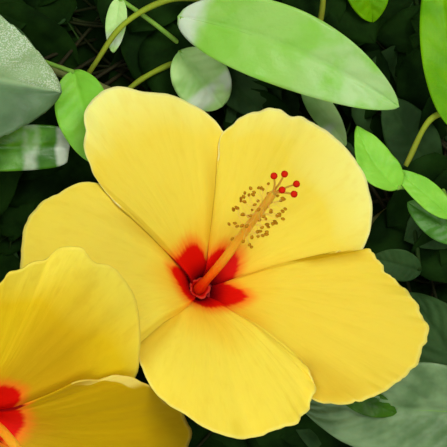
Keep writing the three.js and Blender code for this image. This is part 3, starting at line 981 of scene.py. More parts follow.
@dataclass(frozen=True)
class LeafForm:
    """How finely a leaf is made: its mesh, the number and depth of its teeth, side veins and relief."""

    rows: int
    columns: int
    wave: float
    veins: float = 0.0
    relief: float = 0.0
    teeth: int = 0
    tooth: float = 0.0
    slant: float = 1.3
    ribbed: bool = False

    LARGE = 50

    def rings(self) -> int:
        """Cuts along the midrib."""
        return 24 if self.rows > self.LARGE else 6

    def sides(self) -> int:
        """Corners round the midrib."""
        return 6 if self.rows > self.LARGE else 3


PLACED_FORM = LeafForm(84, 18, wave=0.08, veins=7.0, relief=0.03)
TOOTHED_FORM = LeafForm(104, 20, wave=0.09, veins=7.0, relief=0.04, teeth=19, tooth=0.035)
PLEATED_FORM = LeafForm(110, 20, wave=0.08, veins=7.0, relief=0.08, slant=2.6)
DEALT_FORM = LeafForm(36, 8, wave=0.1, veins=5.0, relief=0.035, teeth=9, tooth=0.05, ribbed=True)
FINE_FORM = LeafForm(8, 4, wave=0.12)
LOBE_FORM = LeafForm(26, 10, wave=0.05, veins=3.0, relief=0.02)
BRACT_FORM = LeafForm(14, 4, wave=0.0)


@dataclass
class Leaf:
    """One leaf in the branch's frame: its ends, half width and the way its face is turned."""

    base: Vector
    tip: Vector
    half_width: float
    face: Vector
    across: Vector
    sweep: float
    arch: float
    blunt: float

    FOLD = math.radians(12)
    ARCH = 0.06
    SHOULDER = 0.55
    WAVES = 1.9
    RIPPLES = 4.3
    VEIN_LIFT = 0.1
    VEINED = (0.04, 0.8)

    @classmethod
    def grown(
        cls, base: Vector, tip: Vector, half_width: float, roll: float, sweep: float = 0.0, blunt: float = 0.7
    ) -> Leaf:
        """A leaf between two points, its face up and then rolled about its length.

        Args:
            base: where the blade begins.
            tip: where it ends.
            half_width: half its greatest width.
            roll: the roll in radians.
            sweep: how far its middle is bent to one side.
            blunt: the smaller, the blunter its tip.

        Returns:
            The leaf.
        """
        direction = (tip - base).normalized()
        face = (UP - direction * direction.z).normalized()
        face.rotate(Quaternion(direction, roll))
        arch = (tip - base).length * cls.ARCH
        return cls(base, tip, half_width, face, direction.cross(face), sweep, arch, blunt)

    def outline(self, share: float) -> float:
        """Half width at a share of the length, as a share of the widest."""
        widest = self.SHOULDER / (self.SHOULDER + self.blunt)
        scale = widest ** self.SHOULDER * (1 - widest) ** self.blunt
        return share ** self.SHOULDER * max(1 - share, 0.0) ** self.blunt / scale

    def point(self, share: float, side: float, off: float = 0.0) -> Vector:
        """A point of the blade.

        Args:
            share: how far along the leaf, 0 to 1.
            side: how far across it, -1 to 1.
            off: distance off its face.

        Returns:
            The point.
        """
        half = self.half_width * self.outline(share) * abs(side)
        bow = arc(share)
        off += self.arch * bow + half * math.sin(self.FOLD)
        middle = self.base.lerp(self.tip, share) + self.face * off
        return middle + self.across * (self.sweep * bow + math.copysign(half * math.cos(self.FOLD), side))

    def living(self, form: LeafForm, phase: float, share: float, side: float) -> Vector:
        """A point of the blade with its teeth, waves, swollen fields between the veins and sunk midrib.

        Args:
            form: the blade's form.
            phase: where its waves start.
            share: how far along the leaf, 0 to 1.
            side: how far across it, -1 to 1.

        Returns:
            The point.
        """
        edge = abs(side) ** 5
        tooth = form.tooth * edge * (0.55 - (share * form.teeth) % 1.0) * smooth(0.02, 0.12, share)
        bay = share * form.veins - abs(side) * form.slant + (0.5 if side < 0 else 0.0)
        swollen = form.relief * (0.5 - 0.5 * math.cos(math.tau * bay))
        swollen *= min(1.0, 5 * abs(side)) * (1 - abs(side) ** 4)
        off = self.half_width * swollen * smooth(0.02, 0.15, share) * smooth(1.0, 0.85, share)
        off += self.half_width * form.wave * math.sin(math.tau * self.WAVES * share + phase) * side * side
        ripple = math.sin(math.tau * self.RIPPLES * share + 2 * phase + side)
        off += self.half_width * form.wave * 0.4 * ripple * abs(side) ** 3
        off -= self.half_width * 0.03 * hump(side, 0.0, 0.08)
        return self.point(share, side * (1 + tooth), off)

    def form_in(
        self, blades: Gathering, form: LeafForm, phase: float, onto: Place = lambda place: place
    ) -> None:
        """Adds the blade to a gathering.

        Args:
            blades: the gathering of sheets.
            form: how finely the blade is made.
            phase: where its waves start, so that no two leaves are alike.
            onto: takes a place in the leaf's frame to the branch.
        """
        blades.form(
            STOCK.sheet(form.rows, form.columns),
            lambda co: onto(self.living(form, phase, co.x, 1 - 2 * co.y)),
            chart=sheet_chart,
        )

    def veins_in(self, ribs: Gathering, form: LeafForm, phase: float, thickness: float) -> None:
        """Adds the midrib and, on a ribbed leaf, side veins, as bars that stand just proud.

        Args:
            ribs: the gathering of bars.
            form: the blade's form, whose sunk lines the veins follow.
            phase: the blade's phase.
            thickness: the midrib's radius at the blade's foot.
        """
        midrib = Path([self.living(form, phase, s, 0.0) for s in (0.0, 0.15, 0.35, 0.6, 0.8, 0.97)])
        ribs.bar(midrib, lambda s, a: thickness * (1 - 0.75 * s), form.sides(), form.rings())
        low, high = self.VEINED
        for half in (-1.0, 1.0) if form.ribbed else ():
            for i in range(1, int(form.veins)):
                start = (i - (0.5 if half < 0 else 0.0)) / form.veins
                if not low < start < high:
                    continue
                points = []
                for side in (0.04, 0.35, 0.65, 0.88):
                    share = min(start + side * form.slant / form.veins, 0.99)
                    points.append(self.living(form, phase, share, half * side) + self.face * self.VEIN_LIFT)
                radius = thickness * 0.5 * (1 - 0.5 * start)
                ribs.bar(Path(points), lambda s, a: radius * (1 - 0.6 * s), 4, 5)

    def stalk_in(self, ribs: Gathering, root: Vector, radius: float, fine: bool = False) -> None:
        """Adds the leaf's stalk to a gathering, from its twig to the foot of the blade.

        Args:
            ribs: the gathering of bars.
            root: where it leaves the twig.
            radius: its radius at the blade.
            fine: whether it is one of many and made with few faces.
        """
        middle = root.lerp(self.base, 0.6) + UP * (0.08 * (self.base - root).length)
        path = Path([root, middle, self.point(0.02, 0.0)])

        def reach(share: float, angle: float) -> float:
            """The stalk's radius, swollen where it leaves the twig and under the blade."""
            ends = hump(share, 0.0, 0.06) + 0.5 * hump(share, 1.0, 0.05)
            return radius * (1.15 - 0.15 * share + 0.4 * ends)

        ribs.bar(path, reach, 3 if fine else 8, 4 if fine else 20)


@dataclass
class Limb:
    """A woody limb along a curve, with the nodes it replaces."""

    name: str
    points: tuple[Point, ...]
    radii: Pair
    sides: int = 22
    ring_length: float = 0.9
    samples: int = 24

    INTERNODE = 21.0
    CLEARANCE = 2.0
    CUT_FACING = -0.9
    CUT_REACH = 1.3

    def __post_init__(self) -> None:
        """Lays out the limb's curve."""
        self.path = Path(self.points)
        self.reach = self.radii[0] + self.CLEARANCE
        self.probes = self.path.spaced(self.samples)

    def bark_radius(self, share: float, angle: float) -> float:
        """The limb's radius with its ridges, pores, leaf scars and swollen joints.

        Args:
            share: share of the length.
            angle: the angle round the limb.

        Returns:
            The radius.
        """
        place = share * self.path.length
        radius = mix(*self.radii, share)
        x, y = math.cos(angle), math.sin(angle)
        ridges = 0.07 * grain(x * 2.2, y * 2.2, place * 0.06) + 0.04 * grain(x * 6, y * 6, place * 0.12)
        pores = 0.09 * smooth(0.25, 0.6, grain(x * 3.5 + 9, y * 3.5, place * 0.5))
        number, within = divmod(place + 6, self.INTERNODE)
        joint = 0.1 * hump(within, 8, 2.4)
        facing = 0.5 + 0.5 * math.cos(angle - number * 2.4)
        scar = 0.3 * facing ** 6 * hump(within, 8, 1.5)
        return radius * (1 + ridges + pores + joint + scar)

    def build(self) -> None:
        """Builds the limb with the relief of its bark; the main stem ends in a clean cut."""
        limb = Gathering(f"{self.name}_bark")
        rings = round(self.path.length / self.ring_length)
        limb.bar(self.path, self.bark_radius, self.sides, rings)
        piece = delivered(limb, Slot.BARK, [BARK, WOOD], self.name)
        cut = Vector(self.points[0]) + ORIGIN
        for face in piece.data.polygons:
            flat = face.normal.dot(self.path.heading(0.0)) < self.CUT_FACING
            if flat and (face.center / MM - cut).length < self.radii[0] * self.CUT_REACH:
                face.material_index = 1
                face.use_smooth = False


@dataclass(frozen=True)
class Spot:
    """A leaf in a known place: share along its twig, base, tip, half width, roll and bend to one side."""

    at: float
    base: Point
    tip: Point
    half_width: float
    roll: float
    tone: Tone
    sweep: float = 0.0
    form: LeafForm = PLACED_FORM
    blunt: float = 0.7

    def leaf(self) -> Leaf:
        """The leaf in its place."""
        base, tip = Vector(self.base), Vector(self.tip)
        return Leaf.grown(base, tip, self.half_width, math.radians(self.roll), self.sweep, self.blunt)


@dataclass(frozen=True)
class Shoot:
    """A young stem among the leaves: the points that it passes and its radius at both ends."""

    points: tuple[Point, ...]
    radii: Pair

    def radius(self, share: float, angle: float) -> float:
        """The stem's radius, with a swollen node now and then."""
        return mix(*self.radii, share) * (1 + 0.06 * math.sin(23 * share) + 0.04 * math.cos(3 * angle))


@dataclass(frozen=True)
class Habit:
    """How leaves grow along one kind of twig (degrees, millimetres).

    Length, stalk and width are the least and what chance adds at most. Along is the first leaf's share of
    the twig and the run of the others, and lowest is for the blade's foot and its tip. The angles are the
    one at the twig's foot, what it loses up to the tip, and what chance adds.
    """

    along: Pair
    angles: Point
    length: Pair
    taper: float
    stalk: Pair
    lowest: Pair
    width: Pair
    roll: float
    spacing: float
    margin: float
    form: LeafForm
    claims: bool
    tones: tuple[Tone, ...]

    def share(self, number: int, count: int) -> float:
        """How far along its twig one of some leaves grows."""
        first, run = self.along
        return first + run * number / (count - 1)

    def spread(self, share: float, deal: Deal) -> float:
        """The angle between a leaf and its twig."""
        foot, lost, chance = self.angles
        return math.radians(foot - lost * share + chance * deal.next())

    def leaf(self, deal: Deal, root: Vector, direction: Vector, share: float, droop: float) -> Leaf:
        """Grows one leaf.

        Args:
            deal: the mass's row of numbers.
            root: where its stalk leaves the twig.
            direction: the way it points.
            share: how far along the twig it grows.
            droop: how far its tip hangs down, as a share of its length.

        Returns:
            The leaf.
        """
        length = deal.between(*self.length) * (1 - self.taper * share)
        base = root + direction * deal.between(*self.stalk)
        base.z = max(base.z, self.lowest[0])
        tip = base + direction * length
        tip.z = max(tip.z - droop * length, self.lowest[1])
        half_width = length * deal.between(*self.width)
        return Leaf.grown(base, tip, half_width, math.radians(self.roll * deal.next() - self.roll / 2))


BEARING = 0.35
# Dealt and fine leaves take mostly painted-shade tones: dark leaves that stand for the shade low under the
# branch.
LEAFY = Habit(
    along=(0.12, 0.86), angles=(105, 55, 12), length=(44, 22), taper=0.25, stalk=(12, 8),
    lowest=(3.0, -BEARING), width=(0.25, 0.06), roll=30, spacing=6.0, margin=2.5, form=DEALT_FORM,
    claims=True, tones=(Tone.SHADY, Tone.DEEP, Tone.MIDDLE, Tone.SHADY, Tone.DEEP),
)
FINE_LEAFY = Habit(
    along=(0.16, 0.84), angles=(74, 44, 16), length=(26, 16), taper=0.15, stalk=(4, 4),
    lowest=(2.0, 0.8), width=(0.3, 0.07), roll=40, spacing=4.0, margin=-1.0, form=FINE_FORM,
    claims=False, tones=(Tone.DEEP, Tone.DEEP, Tone.SHADY, Tone.DEEP, Tone.DEEP, Tone.DEEP),
)


@dataclass
class Mass:
    """A mass of foliage: a twig that grows on from its limb, with leaves in known places and dealt leaves."""

    name: str
    carrier: Limb
    twig: tuple[Point, ...]
    spots: tuple[Spot, ...]
    dealt: int
    seed: int
    shoots: tuple[Shoot, ...] = ()

    SEAT_GAP = 0.3
    TWIG_LEAD = 8.0
    TWIG_RADII = (1.5, 0.9)
    TWIG_SITES = 6
    FINE_TWIG_RADII = (0.75, 0.35)
    PETIOLE = 0.75
    FINE_PETIOLE = 0.4
    FINE_RIB = 0.2
    BLADE_WALL = 0.4
    SHARES_TRIED = (0.1, 0.35, 0.6, 0.85, 1.0)
    SHARES_KEPT = (0.3, 0.6, 0.9)
    PHYLLOTAXIS = math.radians(144)
    JITTER = 0.5
    RISE, SINK = 0.3, 0.08
    HANGING, DROOPING = 0.5, 0.12
    # Tones painted as shade, whose stalks and veins take the darker stalk colour.
    SHADE_TONES = (Tone.DEEP, Tone.SHADY, Tone.MOSS)
    FINE_TWIGS = 56
    FINE_RUN, FINE_BACK = 1.45, 0.5
    FINE_SPREAD = (30, 120)
    FINE_LENGTH = (34, 52)
    FINE_HEIGHT = (4, 14)
    FINE_BEND = 20
    BEND_CEILING = 22.0
    SQUARE = 1.57
    FINE_LEAVES = 11
    FINE_RISE, FINE_SINK = 0.24, 0.16

    def __post_init__(self) -> None:
        """Lays out the main twig and the leaves in known places."""
        foot = self.carrier.path.at(1.0)
        onward = self.carrier.path.heading(1.0)
        self.path = Path([foot + onward * self.SEAT_GAP, foot + onward * self.TWIG_LEAD, *self.twig])
        self.sites = self.path.spaced(self.TWIG_SITES)
        self.midribs: list[Vector] = []
        self.leaves: list[tuple[Vector, Leaf, Tone, LeafForm]] = []
        self.fine_twigs: list[Path] = []
        for spot in self.spots:
            leaf = spot.leaf()
            self.leaves.append((self.path.at(spot.at), leaf, spot.tone, spot.form))
            known = [leaf.point(share, 0.0) for share in (0, 0.25, 0.5, 0.75, 1)]
            self.midribs.extend(known)
            self.sites.extend(known)

    @staticmethod
    def nearest(points: Sequence[Vector], place: Vector) -> float:
        """Distance from a place to the nearest of some points."""
        return min(((point - place).length for point in points), default=math.inf)

    def crowded(self, leaf: Leaf, branch: Branch, margin: float) -> bool:
        """Whether a leaf would leave the mass's own space, or come too near a bloom, limb or the ground.

        Args:
            leaf: the leaf to try.
            branch: the whole branch.
            margin: how far inside its mass's space the leaf has to stay.

        Returns:
            True where the leaf can't be.
        """
        for share in self.SHARES_TRIED:
            for side in (-1.0, 0.0, 1.0):
                place = leaf.point(share, side)
                if branch.taken(place) or branch.beyond(place):
                    return True
                others = min(self.nearest(other.sites, place) for other in branch.masses if other is not self)
                if self.nearest(self.sites, place) > others - margin:
                    return True
        return False

    def deal_leaves(self, branch: Branch) -> None:
        """Deals leaves out round the main twig by the mass's seed.

        Args:
            branch: the whole branch.
        """
        deal = Deal(self.seed)
        for i in range(self.dealt):
            share = LEAFY.share(i, self.dealt)
            root = self.path.at(share)
            angle = i * self.PHYLLOTAXIS + self.JITTER * deal.next()
            heading = bearing(self.path.heading(share)) + LEAFY.spread(share, deal) * math.sin(angle)
            rise = self.RISE * math.cos(angle) - self.SINK
            direction = (round_the_axis(heading) + UP * rise).normalized()
            leaf = LEAFY.leaf(deal, root, direction, share, self.DROOPING if i % 3 else self.HANGING)
            self.settle(branch, LEAFY, root, leaf, i)

    def settle(self, branch: Branch, habit: Habit, root: Vector, leaf: Leaf, number: int) -> None:
        """Keeps a dealt leaf if there is room for it.

        Args:
            branch: the whole branch.
            habit: how the leaf's kind grows.
            root: where the leaf's stalk leaves its twig.
            leaf: the leaf to try.
            number: its place in the row of tones.
        """
        middles = [leaf.point(share, 0.0) for share in self.SHARES_KEPT]
        near = any(self.nearest(self.midribs, place) < habit.spacing for place in middles)
        if near or self.crowded(leaf, branch, habit.margin):
            return
        self.leaves.append((root, leaf, habit.tones[number % len(habit.tones)], habit.form))
        self.midribs.extend(middles)
        if habit.claims:
            self.sites.extend(middles)

    def deal_fine_twigs(self, branch: Branch) -> None:
        """Carries the rule on to finer twigs, which spread low and fill the mass with smaller leaves.

        Args:
            branch: the whole branch.
        """
        deal = Deal(self.seed + 500)
        for i in range(self.FINE_TWIGS):
            share = i / (self.FINE_TWIGS - 1) * self.FINE_RUN - self.FINE_BACK
            root = self.path.at(share) if share > 0 else self.carrier.path.at(1.0 + share)
            onward = self.path.heading(max(share, 0.0))
            angle = i * self.PHYLLOTAXIS + self.JITTER * deal.next()
            spread = math.radians(deal.between(*self.FINE_SPREAD))
            heading = bearing(onward) + math.copysign(spread, math.sin(angle))
            end = root + round_the_axis(heading) * deal.between(*self.FINE_LENGTH)
            end.z = deal.between(*self.FINE_HEIGHT)
            swerve = self.FINE_BEND * deal.next() - self.FINE_BEND / 2
            bend = root.lerp(end, 0.5) + round_the_axis(heading + self.SQUARE) * swerve
            bend.z = min(bend.z, self.BEND_CEILING)
            twig = Path([root, bend, end])
            places = [twig.at(s) for s in (0.3, 0.6, 1.0)]
            if any(branch.taken(place, limbs=False) or branch.beyond(place) for place in places):
                continue
            self.fine_twigs.append(twig)
            self.deal_fine_leaves(branch, twig, deal)

    def deal_fine_leaves(self, branch: Branch, twig: Path, deal: Deal) -> None:
        """Deals small leaves out along both sides of a finer twig.

        Args:
            branch: the whole branch.
            twig: the finer twig.
            deal: the mass's row of numbers.
        """
        for i in range(self.FINE_LEAVES):
            share = FINE_LEAFY.share(i, self.FINE_LEAVES)
            root = twig.at(share)
            side = 1.0 if i % 2 else -1.0
            spread = FINE_LEAFY.spread(share, deal) * side
            direction = round_the_axis(bearing(twig.heading(share)) + spread)
            direction.z = self.FINE_RISE * deal.next() - self.FINE_SINK
            direction.normalize()
            leaf = FINE_LEAFY.leaf(deal, root, direction, share, 0.0)
            self.settle(branch, FINE_LEAFY, root, leaf, i + len(self.fine_twigs))

    def twig_radius(self, share: float, angle: float) -> float:
        """The main twig's radius, on from its limb's tip, with its swollen joints.

        Args:
            share: share of the length.
            angle: the angle round the twig.

        Returns:
            The radius.
        """
        start, end = self.TWIG_RADII
        radius = mix(start, end, share) + (self.carrier.radii[1] - start) * smooth(0.2, 0.0, share)
        joints = 0.12 * hump((share * self.dealt) % 1.0, 0.5, 0.09)
        return radius * (1 + joints + 0.05 * grain(3 * math.cos(angle), 3 * math.sin(angle), share * 20))

    def fine_twig_radius(self, share: float, angle: float) -> float:
        """A finer twig's radius, slightly swollen along its length."""
        return mix(*self.FINE_TWIG_RADII, share) * (1 + 0.1 * math.sin(share * 40))

    def build(self) -> None:
        """Builds the mass: its twigs, its stalks and veins, and its leaves, a piece for each tone."""
        parts = ("twigs", "shoots", "stalks", "dark_stalks")
        twigs, shoots, ribs, fine_ribs = (Gathering(f"{self.name}_{part}") for part in parts)
        foot = self.carrier.path.at(0.995)
        twigs.bar(Path([foot, *self.path.spaced(8)[1:]]), self.twig_radius, 12, 110)
        for path in self.fine_twigs:
            twigs.bar(path, self.fine_twig_radius, 6, 20)
        for shoot in self.shoots:
            shoots.bar(Path(shoot.points), shoot.radius, 10, 40)
        blades: dict[Tone, Gathering] = {}
        for number, (root, leaf, tone, form) in enumerate(self.leaves):
            phase = number * 1.7 + self.seed
            fine = form is FINE_FORM
            into = fine_ribs if fine or tone in self.SHADE_TONES else ribs
            leaf.stalk_in(into, root, self.FINE_PETIOLE if fine else self.PETIOLE, fine)
            leaf.veins_in(into, form, phase, self.FINE_RIB if fine else 0.012 * leaf.half_width + 0.16)
            gathered = blades.setdefault(tone, Gathering(f"{self.name}_leaves_{tone.value}"))
            leaf.form_in(gathered, form, phase)
        for bars, finish in ((twigs, TWIG), (shoots, SHOOT), (ribs, RIB), (fine_ribs, PETIOLE)):
            if bars.faces:
                delivered(bars, Slot.LEAF, [finish], self.name)
        for tone, gathered in blades.items():
            skins = [SKINS[tone], UNDERSIDE]
            delivered(gathered, Slot.LEAF, skins, self.name, thickness=self.BLADE_WALL)
        log.info("%s: %d leaves on %d fine twigs", self.name, len(self.leaves), len(self.fine_twigs))


@dataclass(frozen=True)
class Petal:
    """One petal (degrees, millimetres); pairs of values are for its clockwise and counterclockwise half.

    The eye is the reach of the crimson at nine directions, from its counterclockwise side on. The frill
    is the depth of the crinkled margin, the curl is how far a side margin turns up, and each dent is a
    place on the margin with its width and depth. The rolled highlight is where a pale strip is painted
    along a turned margin as a painted highlight, and the crease is how far the crimson runs on along the
    upper side margin, where a maroon line is partly the margin's own darker red and partly painted shade.
    The painted shades are olive shadows that other petals cast on it.
    """

    toward: float
    length: float
    bend: float
    halves: Pair
    shoulders: Pair
    fullness: Pair
    eye: tuple[float, ...] = (13, 16, 19, 21, 22, 20.5, 17.5, 14.5, 12)
    frill: Pair = (0.3, 0.3)
    pitch: float = 9.0
    curl: Pair = (-0.8, -2.2)
    dents: tuple[Point, ...] = ()
    tones: PetalTones = SUNNY
    painted_shades: tuple[PaintedShade, ...] = ()
    rolled_highlight: Edges = (1.2, 1.3, 1.4, 1.5)
    crease: float = 4.0

    def frilled(self, across: float) -> float:
        """The depth of the crinkled margin, blended from one half to the other."""
        return mix(self.frill[1], self.frill[0], smooth(-0.15, 0.15, across))


@dataclass
class Corolla:
    """Shape shared by both corollas, a funnel that opens into a wide and nearly flat face."""

    throat_radius: float = 3.9
    throat_flare: float = 14.0
    throat_narrowing: float = 0.65
    funnel_length: float = 30.0
    funnel_steepness: float = 0.94
    claw_distance: float = 5.0
    claw_height: float = 0.9
    claw_half_width: float = 4.2
    petal_length: float = 64.0
    overlap_lift: float = 1.9
    overlap_angle: float = math.radians(43)
    lift_at_claw: float = 0.42
    fan_angle: float = math.radians(112)
    ruffle_height: float = 1.0
    petal_thickness: float = 0.5
    rows: int = 62
    columns: int = 118
    hidden_claw: float = 0.07


@dataclass(kw_only=True)
class Bloom(Corolla):
    """An open bloom with its column, calyx and stalk (angles in degrees)."""

    name: str
    throat: Point
    lean: float
    lean_toward: float
    column_lean: float
    column_toward: float
    first_claw: float
    petals: tuple[Petal, ...]
    styles: tuple[Pair, ...]
    column_length: float = 60.0
    column_radii: Point = (2.1, 1.45, 1.2)
    column_bow: Pair = (0.0, 0.0)
    stamens: int = 66
    filament: float = 4.9
    calyx_depth: float = 9.0
    stalk_radii: Pair = (1.6, 1.3)

    COLLAR_WALL = 0.4
    CALYX_WALL = 0.55
    FILAMENT_RADIUS = 0.07
    FILAMENT_REACH = (0.75, 0.45)
    FILAMENT_AHEAD = (0.4, 1.6)
    ANTHER_SIZE = (0.44, 0.12)
    GOLDEN_ANGLE = 2.39996

    def __post_init__(self) -> None:
        """Works out how the bloom and its column stand."""
        lean = math.radians(self.lean)
        axis = round_the_axis(math.radians(self.lean_toward)) * math.sin(lean) + UP * math.cos(lean)
        self.turn = UP.rotation_difference(axis)
        self.centre = Vector(self.throat)
        lean = math.radians(self.column_lean)
        side = round_the_axis(math.radians(self.column_toward))
        self.column_heading = side * math.sin(lean) + UP * math.cos(lean)
        self.column_turn = UP.rotation_difference(self.column_heading)

    def on_branch(self, place: Vector) -> Vector:
        """A place on the branch, from one in the bloom's own frame."""
        return self.turn @ place + self.centre

    def line(self, places: Sequence[Vector]) -> Path:
        """A curve on the branch through places in the bloom's own frame."""
        return Path([self.on_branch(place) for place in places])

    def bend_toward(self, azimuth: float) -> float:
        """How far the open corolla is bent in one direction, blended from its petals.

        Args:
            azimuth: the direction round the bloom's axis.

        Returns:
            The height that it adds at the full length of a petal.
        """
        total = 0.0
        weights = 0.0
        for petal in self.petals:
            weight = (0.5 + 0.5 * math.cos(azimuth - math.radians(petal.toward))) ** 4
            total += weight * petal.bend
            weights += weight
        return total / weights

    def corolla_point(self, azimuth: float, along: float, lift: float) -> Vector:
        """A point of the corolla's face.

        Args:
            azimuth: direction round the axis.
            along: distance outwards from the throat's rim.
            lift: distance off the face.

        Returns:
            The point in the bloom's own frame.
        """
        flare = math.exp(-along / self.throat_flare)
        rise = math.exp(-along / self.funnel_length)
        radius = self.throat_radius + along - self.throat_narrowing * self.throat_flare * (1 - flare)
        bent = (along / self.petal_length) ** 2 * self.bend_toward(azimuth) if along > 0 else 0.0
        height = self.funnel_steepness * self.funnel_length * (1 - rise) + bent
        outward = 1 - self.throat_narrowing * flare
        upward = self.funnel_steepness * rise
        slope = math.hypot(outward, upward)
        lifted = radius - lift * upward / slope
        return round_the_axis(azimuth) * lifted + UP * (self.claw_height + height + lift * outward / slope)

    def flat_plan(self, petal: Petal, seed: float, along: float, across: float) -> Pair:
        """Where a point of the petal lies in its flat plan, sideways and outwards, its margin crinkled.

        Args:
            petal: the petal.
            seed: what its crinkles start from.
            along: share of the way out, below 0 on the claw.
            across: how far over the petal, -1 to 1.

        Returns:
            The place sideways and outwards.
        """
        ray = across * self.fan_angle
        half = 0 if across > 0 else 1
        scallop = 2.2 * abs(grain(across * petal.pitch, seed, 0.3)) - 0.5
        scallop += 0.3 * grain(across * 29, seed, 5.1)
        dented = sum(depth * hump(across, place, width) for place, width, depth in petal.dents)
        crinkle = 1 + (petal.frilled(across) * scallop - dented) / petal.halves[half]
        shoulder = petal.length * petal.shoulders[half]
        corner = 1 + petal.fullness[half] * math.sin(ray) ** 2
        edge_x = petal.halves[half] * math.sin(ray) * crinkle
        edge_y = shoulder + (petal.length - shoulder) * math.cos(ray) * corner * crinkle
        if along < 0:
            narrowed = 1 + along / self.hidden_claw * 0.8
            return across * self.claw_half_width * narrowed, self.claw_distance * narrowed
        return mix(across * self.claw_half_width, edge_x, along), mix(self.claw_distance, edge_y, along)

    def relief(self, petal: Petal, seed: float, along: float, across: float) -> float:
        """How far a petal stands off its smooth form: waves, pleats that fan out, and its margins.

        Args:
            petal: the petal.
            seed: what its waves start from.
            along: share of the way out.
            across: how far over the petal, -1 to 1.

        Returns:
            The distance off its face.
        """
        wave = 0.6 * grain(across * 1.7, along * 2.2, seed) * smooth(0.25, 0.8, along)
        wave *= 1 - 0.7 * smooth(0.5, 0.9, abs(across))
        fading = smooth(0.2, 0.5, along) * (1 - 0.6 * smooth(0.85, 1.0, along))
        pleat = 0.2 * grain(across * 9, along * 1.1, seed + 11) * fading
        pleat += 0.22 * grain(across * 15, along * 1.6, seed + 17) * smooth(0.4, 0.6, along) * fading
        strand = 0.08 * grain(across * 30, along * 1.4, seed + 23) * fading
        frill = petal.frilled(across)
        ruffle = (0.5 + frill) * grain(across * 6.5, 0.0, seed + 31) * smooth(0.75, 1.0, along) ** 2
        crimp = frill * grain(across * petal.pitch * 1.6, 0.0, seed + 43) * smooth(0.88, 1.0, along)
        margin = petal.curl[0 if across > 0 else 1] * smooth(0.7, 1.0, abs(across)) * smooth(0.1, 0.4, along)
        return wave + pleat + strand + ruffle + crimp + margin

    def petal_point(self, petal: Petal, seed: float, along: float, across: float) -> Vector:
        """A point of a petal, a fan of rays from its claw whose counterclockwise side lies on top.

        Args:
            petal: the petal.
            seed: what its waves start from.
            along: share of the way out.
            across: how far over the petal, -1 to 1.

        Returns:
            The point in the bloom's own frame.
        """
        flat_x, flat_y = self.flat_plan(petal, seed, along, across)
        turn = math.atan2(flat_x, flat_y)
        distance = math.hypot(flat_x, flat_y) - self.claw_distance
        settled = smooth(0, 25, distance)
        grown = self.lift_at_claw + (1 - self.lift_at_claw) * settled
        toward = math.radians(petal.toward)
        ruffle = self.ruffle_height * max(along, 0.0) ** 5 * math.sin(11 * across + 30 * toward)
        lift = -self.overlap_lift * grown * turn / self.overlap_angle + ruffle
        lift += self.relief(petal, seed, along, across)
        claw = math.radians(self.first_claw - 72 * self.petals.index(petal))
        return self.corolla_point(mix(claw, toward, settled) - turn, distance, lift)

    def span(self, co: Vector) -> Pair:
        """The share along and across a petal for a corner of its sheet."""
        return mix(-self.hidden_claw, 1.0, co.x), 1 - 2 * co.y

    def span_chart(self, co: Vector) -> Pair:
        """The share along and across a petal as a pattern map."""
        along, across = self.span(co)
        return along, across * 0.5 + 0.5

    def build_petals(self) -> None:
        """Builds each petal as a dense sheet with a wall and dresses it."""
        blank = STOCK.sheet(self.rows, self.columns)
        for number, petal in enumerate(self.petals, 1):
            seed = number * 3.7 + len(self.name) + self.lean

            def place(co: Vector) -> Vector:
                """The petal's corner for a corner of the sheet."""
                return self.on_branch(self.petal_point(petal, seed, *self.span(co)))

            def plan(co: Vector) -> Pair:
                """The corner's place in the flat plan, in decimetres."""
                x, y = self.flat_plan(petal, seed, *self.span(co))
                return x * 0.01 + 0.5, y * 0.01

            node = f"{self.name}_petal_{number}"
            sheet = Gathering(f"{node}_blade")
            sheet.form(blank, place, plan=plan, span=self.span_chart)
            finish = PetalFinish(seed, petal.eye, petal.tones, petal.painted_shades, petal.rolled_highlight, petal.crease)
            delivered(sheet, Slot.PETAL, [finish], node, thickness=self.petal_thickness)

    def column_place(self, share: float, out: float = 0.0, angle: float = 0.0, ahead: float = 0.0) -> Vector:
        """A place at a share of the column's length, some way out from its axis and ahead along it.

        Args:
            share: share of the column's length.
            out: distance from its axis.
            angle: the angle round its axis.
            ahead: distance further along it.

        Returns:
            The place in the bloom's own frame.
        """
        bowed = Vector((-1.0, 0.0, 0.0)) * smooth(0.3, 0.0, share)
        bowed += Vector((*self.column_bow, 0.0)) * arc(share)
        foot = UP * -1.5 + bowed + self.column_heading * (self.column_length * share + ahead)
        return foot + self.column_turn @ (round_the_axis(angle) * out)

    def column_radius(self, share: float, angle: float) -> float:
        """The column's radius: a wide foot, faint ribs and a blunt end.

        Args:
            share: share of the length.
            angle: the angle round the column.

        Returns:
            The radius.
        """
        foot, neck, end = self.column_radii
        radius = mix(foot, neck, smooth(0.0, 0.14, share)) + (end - neck) * smooth(0.3, 1.0, share)
        ribs = 0.05 * math.cos(5 * angle + 2 * share)
        ribs += 0.04 * grain(3 * math.cos(angle), 3 * math.sin(angle), share * 9)
        blunt = math.sqrt(max(1.0 - smooth(0.96, 1.0, share) ** 2 * 0.8, 0.0))
        return (radius + ribs) * blunt

    def build_column(self) -> None:
        """Builds the column's shaft, its lobed collar, the stamens and the five styles."""
        node = f"{self.name}_column"
        shaft = Gathering(f"{node}_shaft")
        line = self.line([self.column_place(s) for s in (0.0, 0.15, 0.3, 0.6, 1.0)])
        shaft.bar(line, self.column_radius, 20, 70)
        delivered(shaft, Slot.COLUMN, [SHAFT], node)

        collar = Gathering(f"{node}_collar")
        collar.form(STOCK.sheet(10, 60), self.collar_place, chart=sheet_chart)
        collar.form(STOCK.sheet(4, 60), self.bottom_place, chart=lambda co: (co.y, 0.3 * co.x))
        delivered(collar, Slot.COLUMN, [COLLAR], thickness=self.COLLAR_WALL)
        self.build_stamens(node)
        self.build_styles(node)

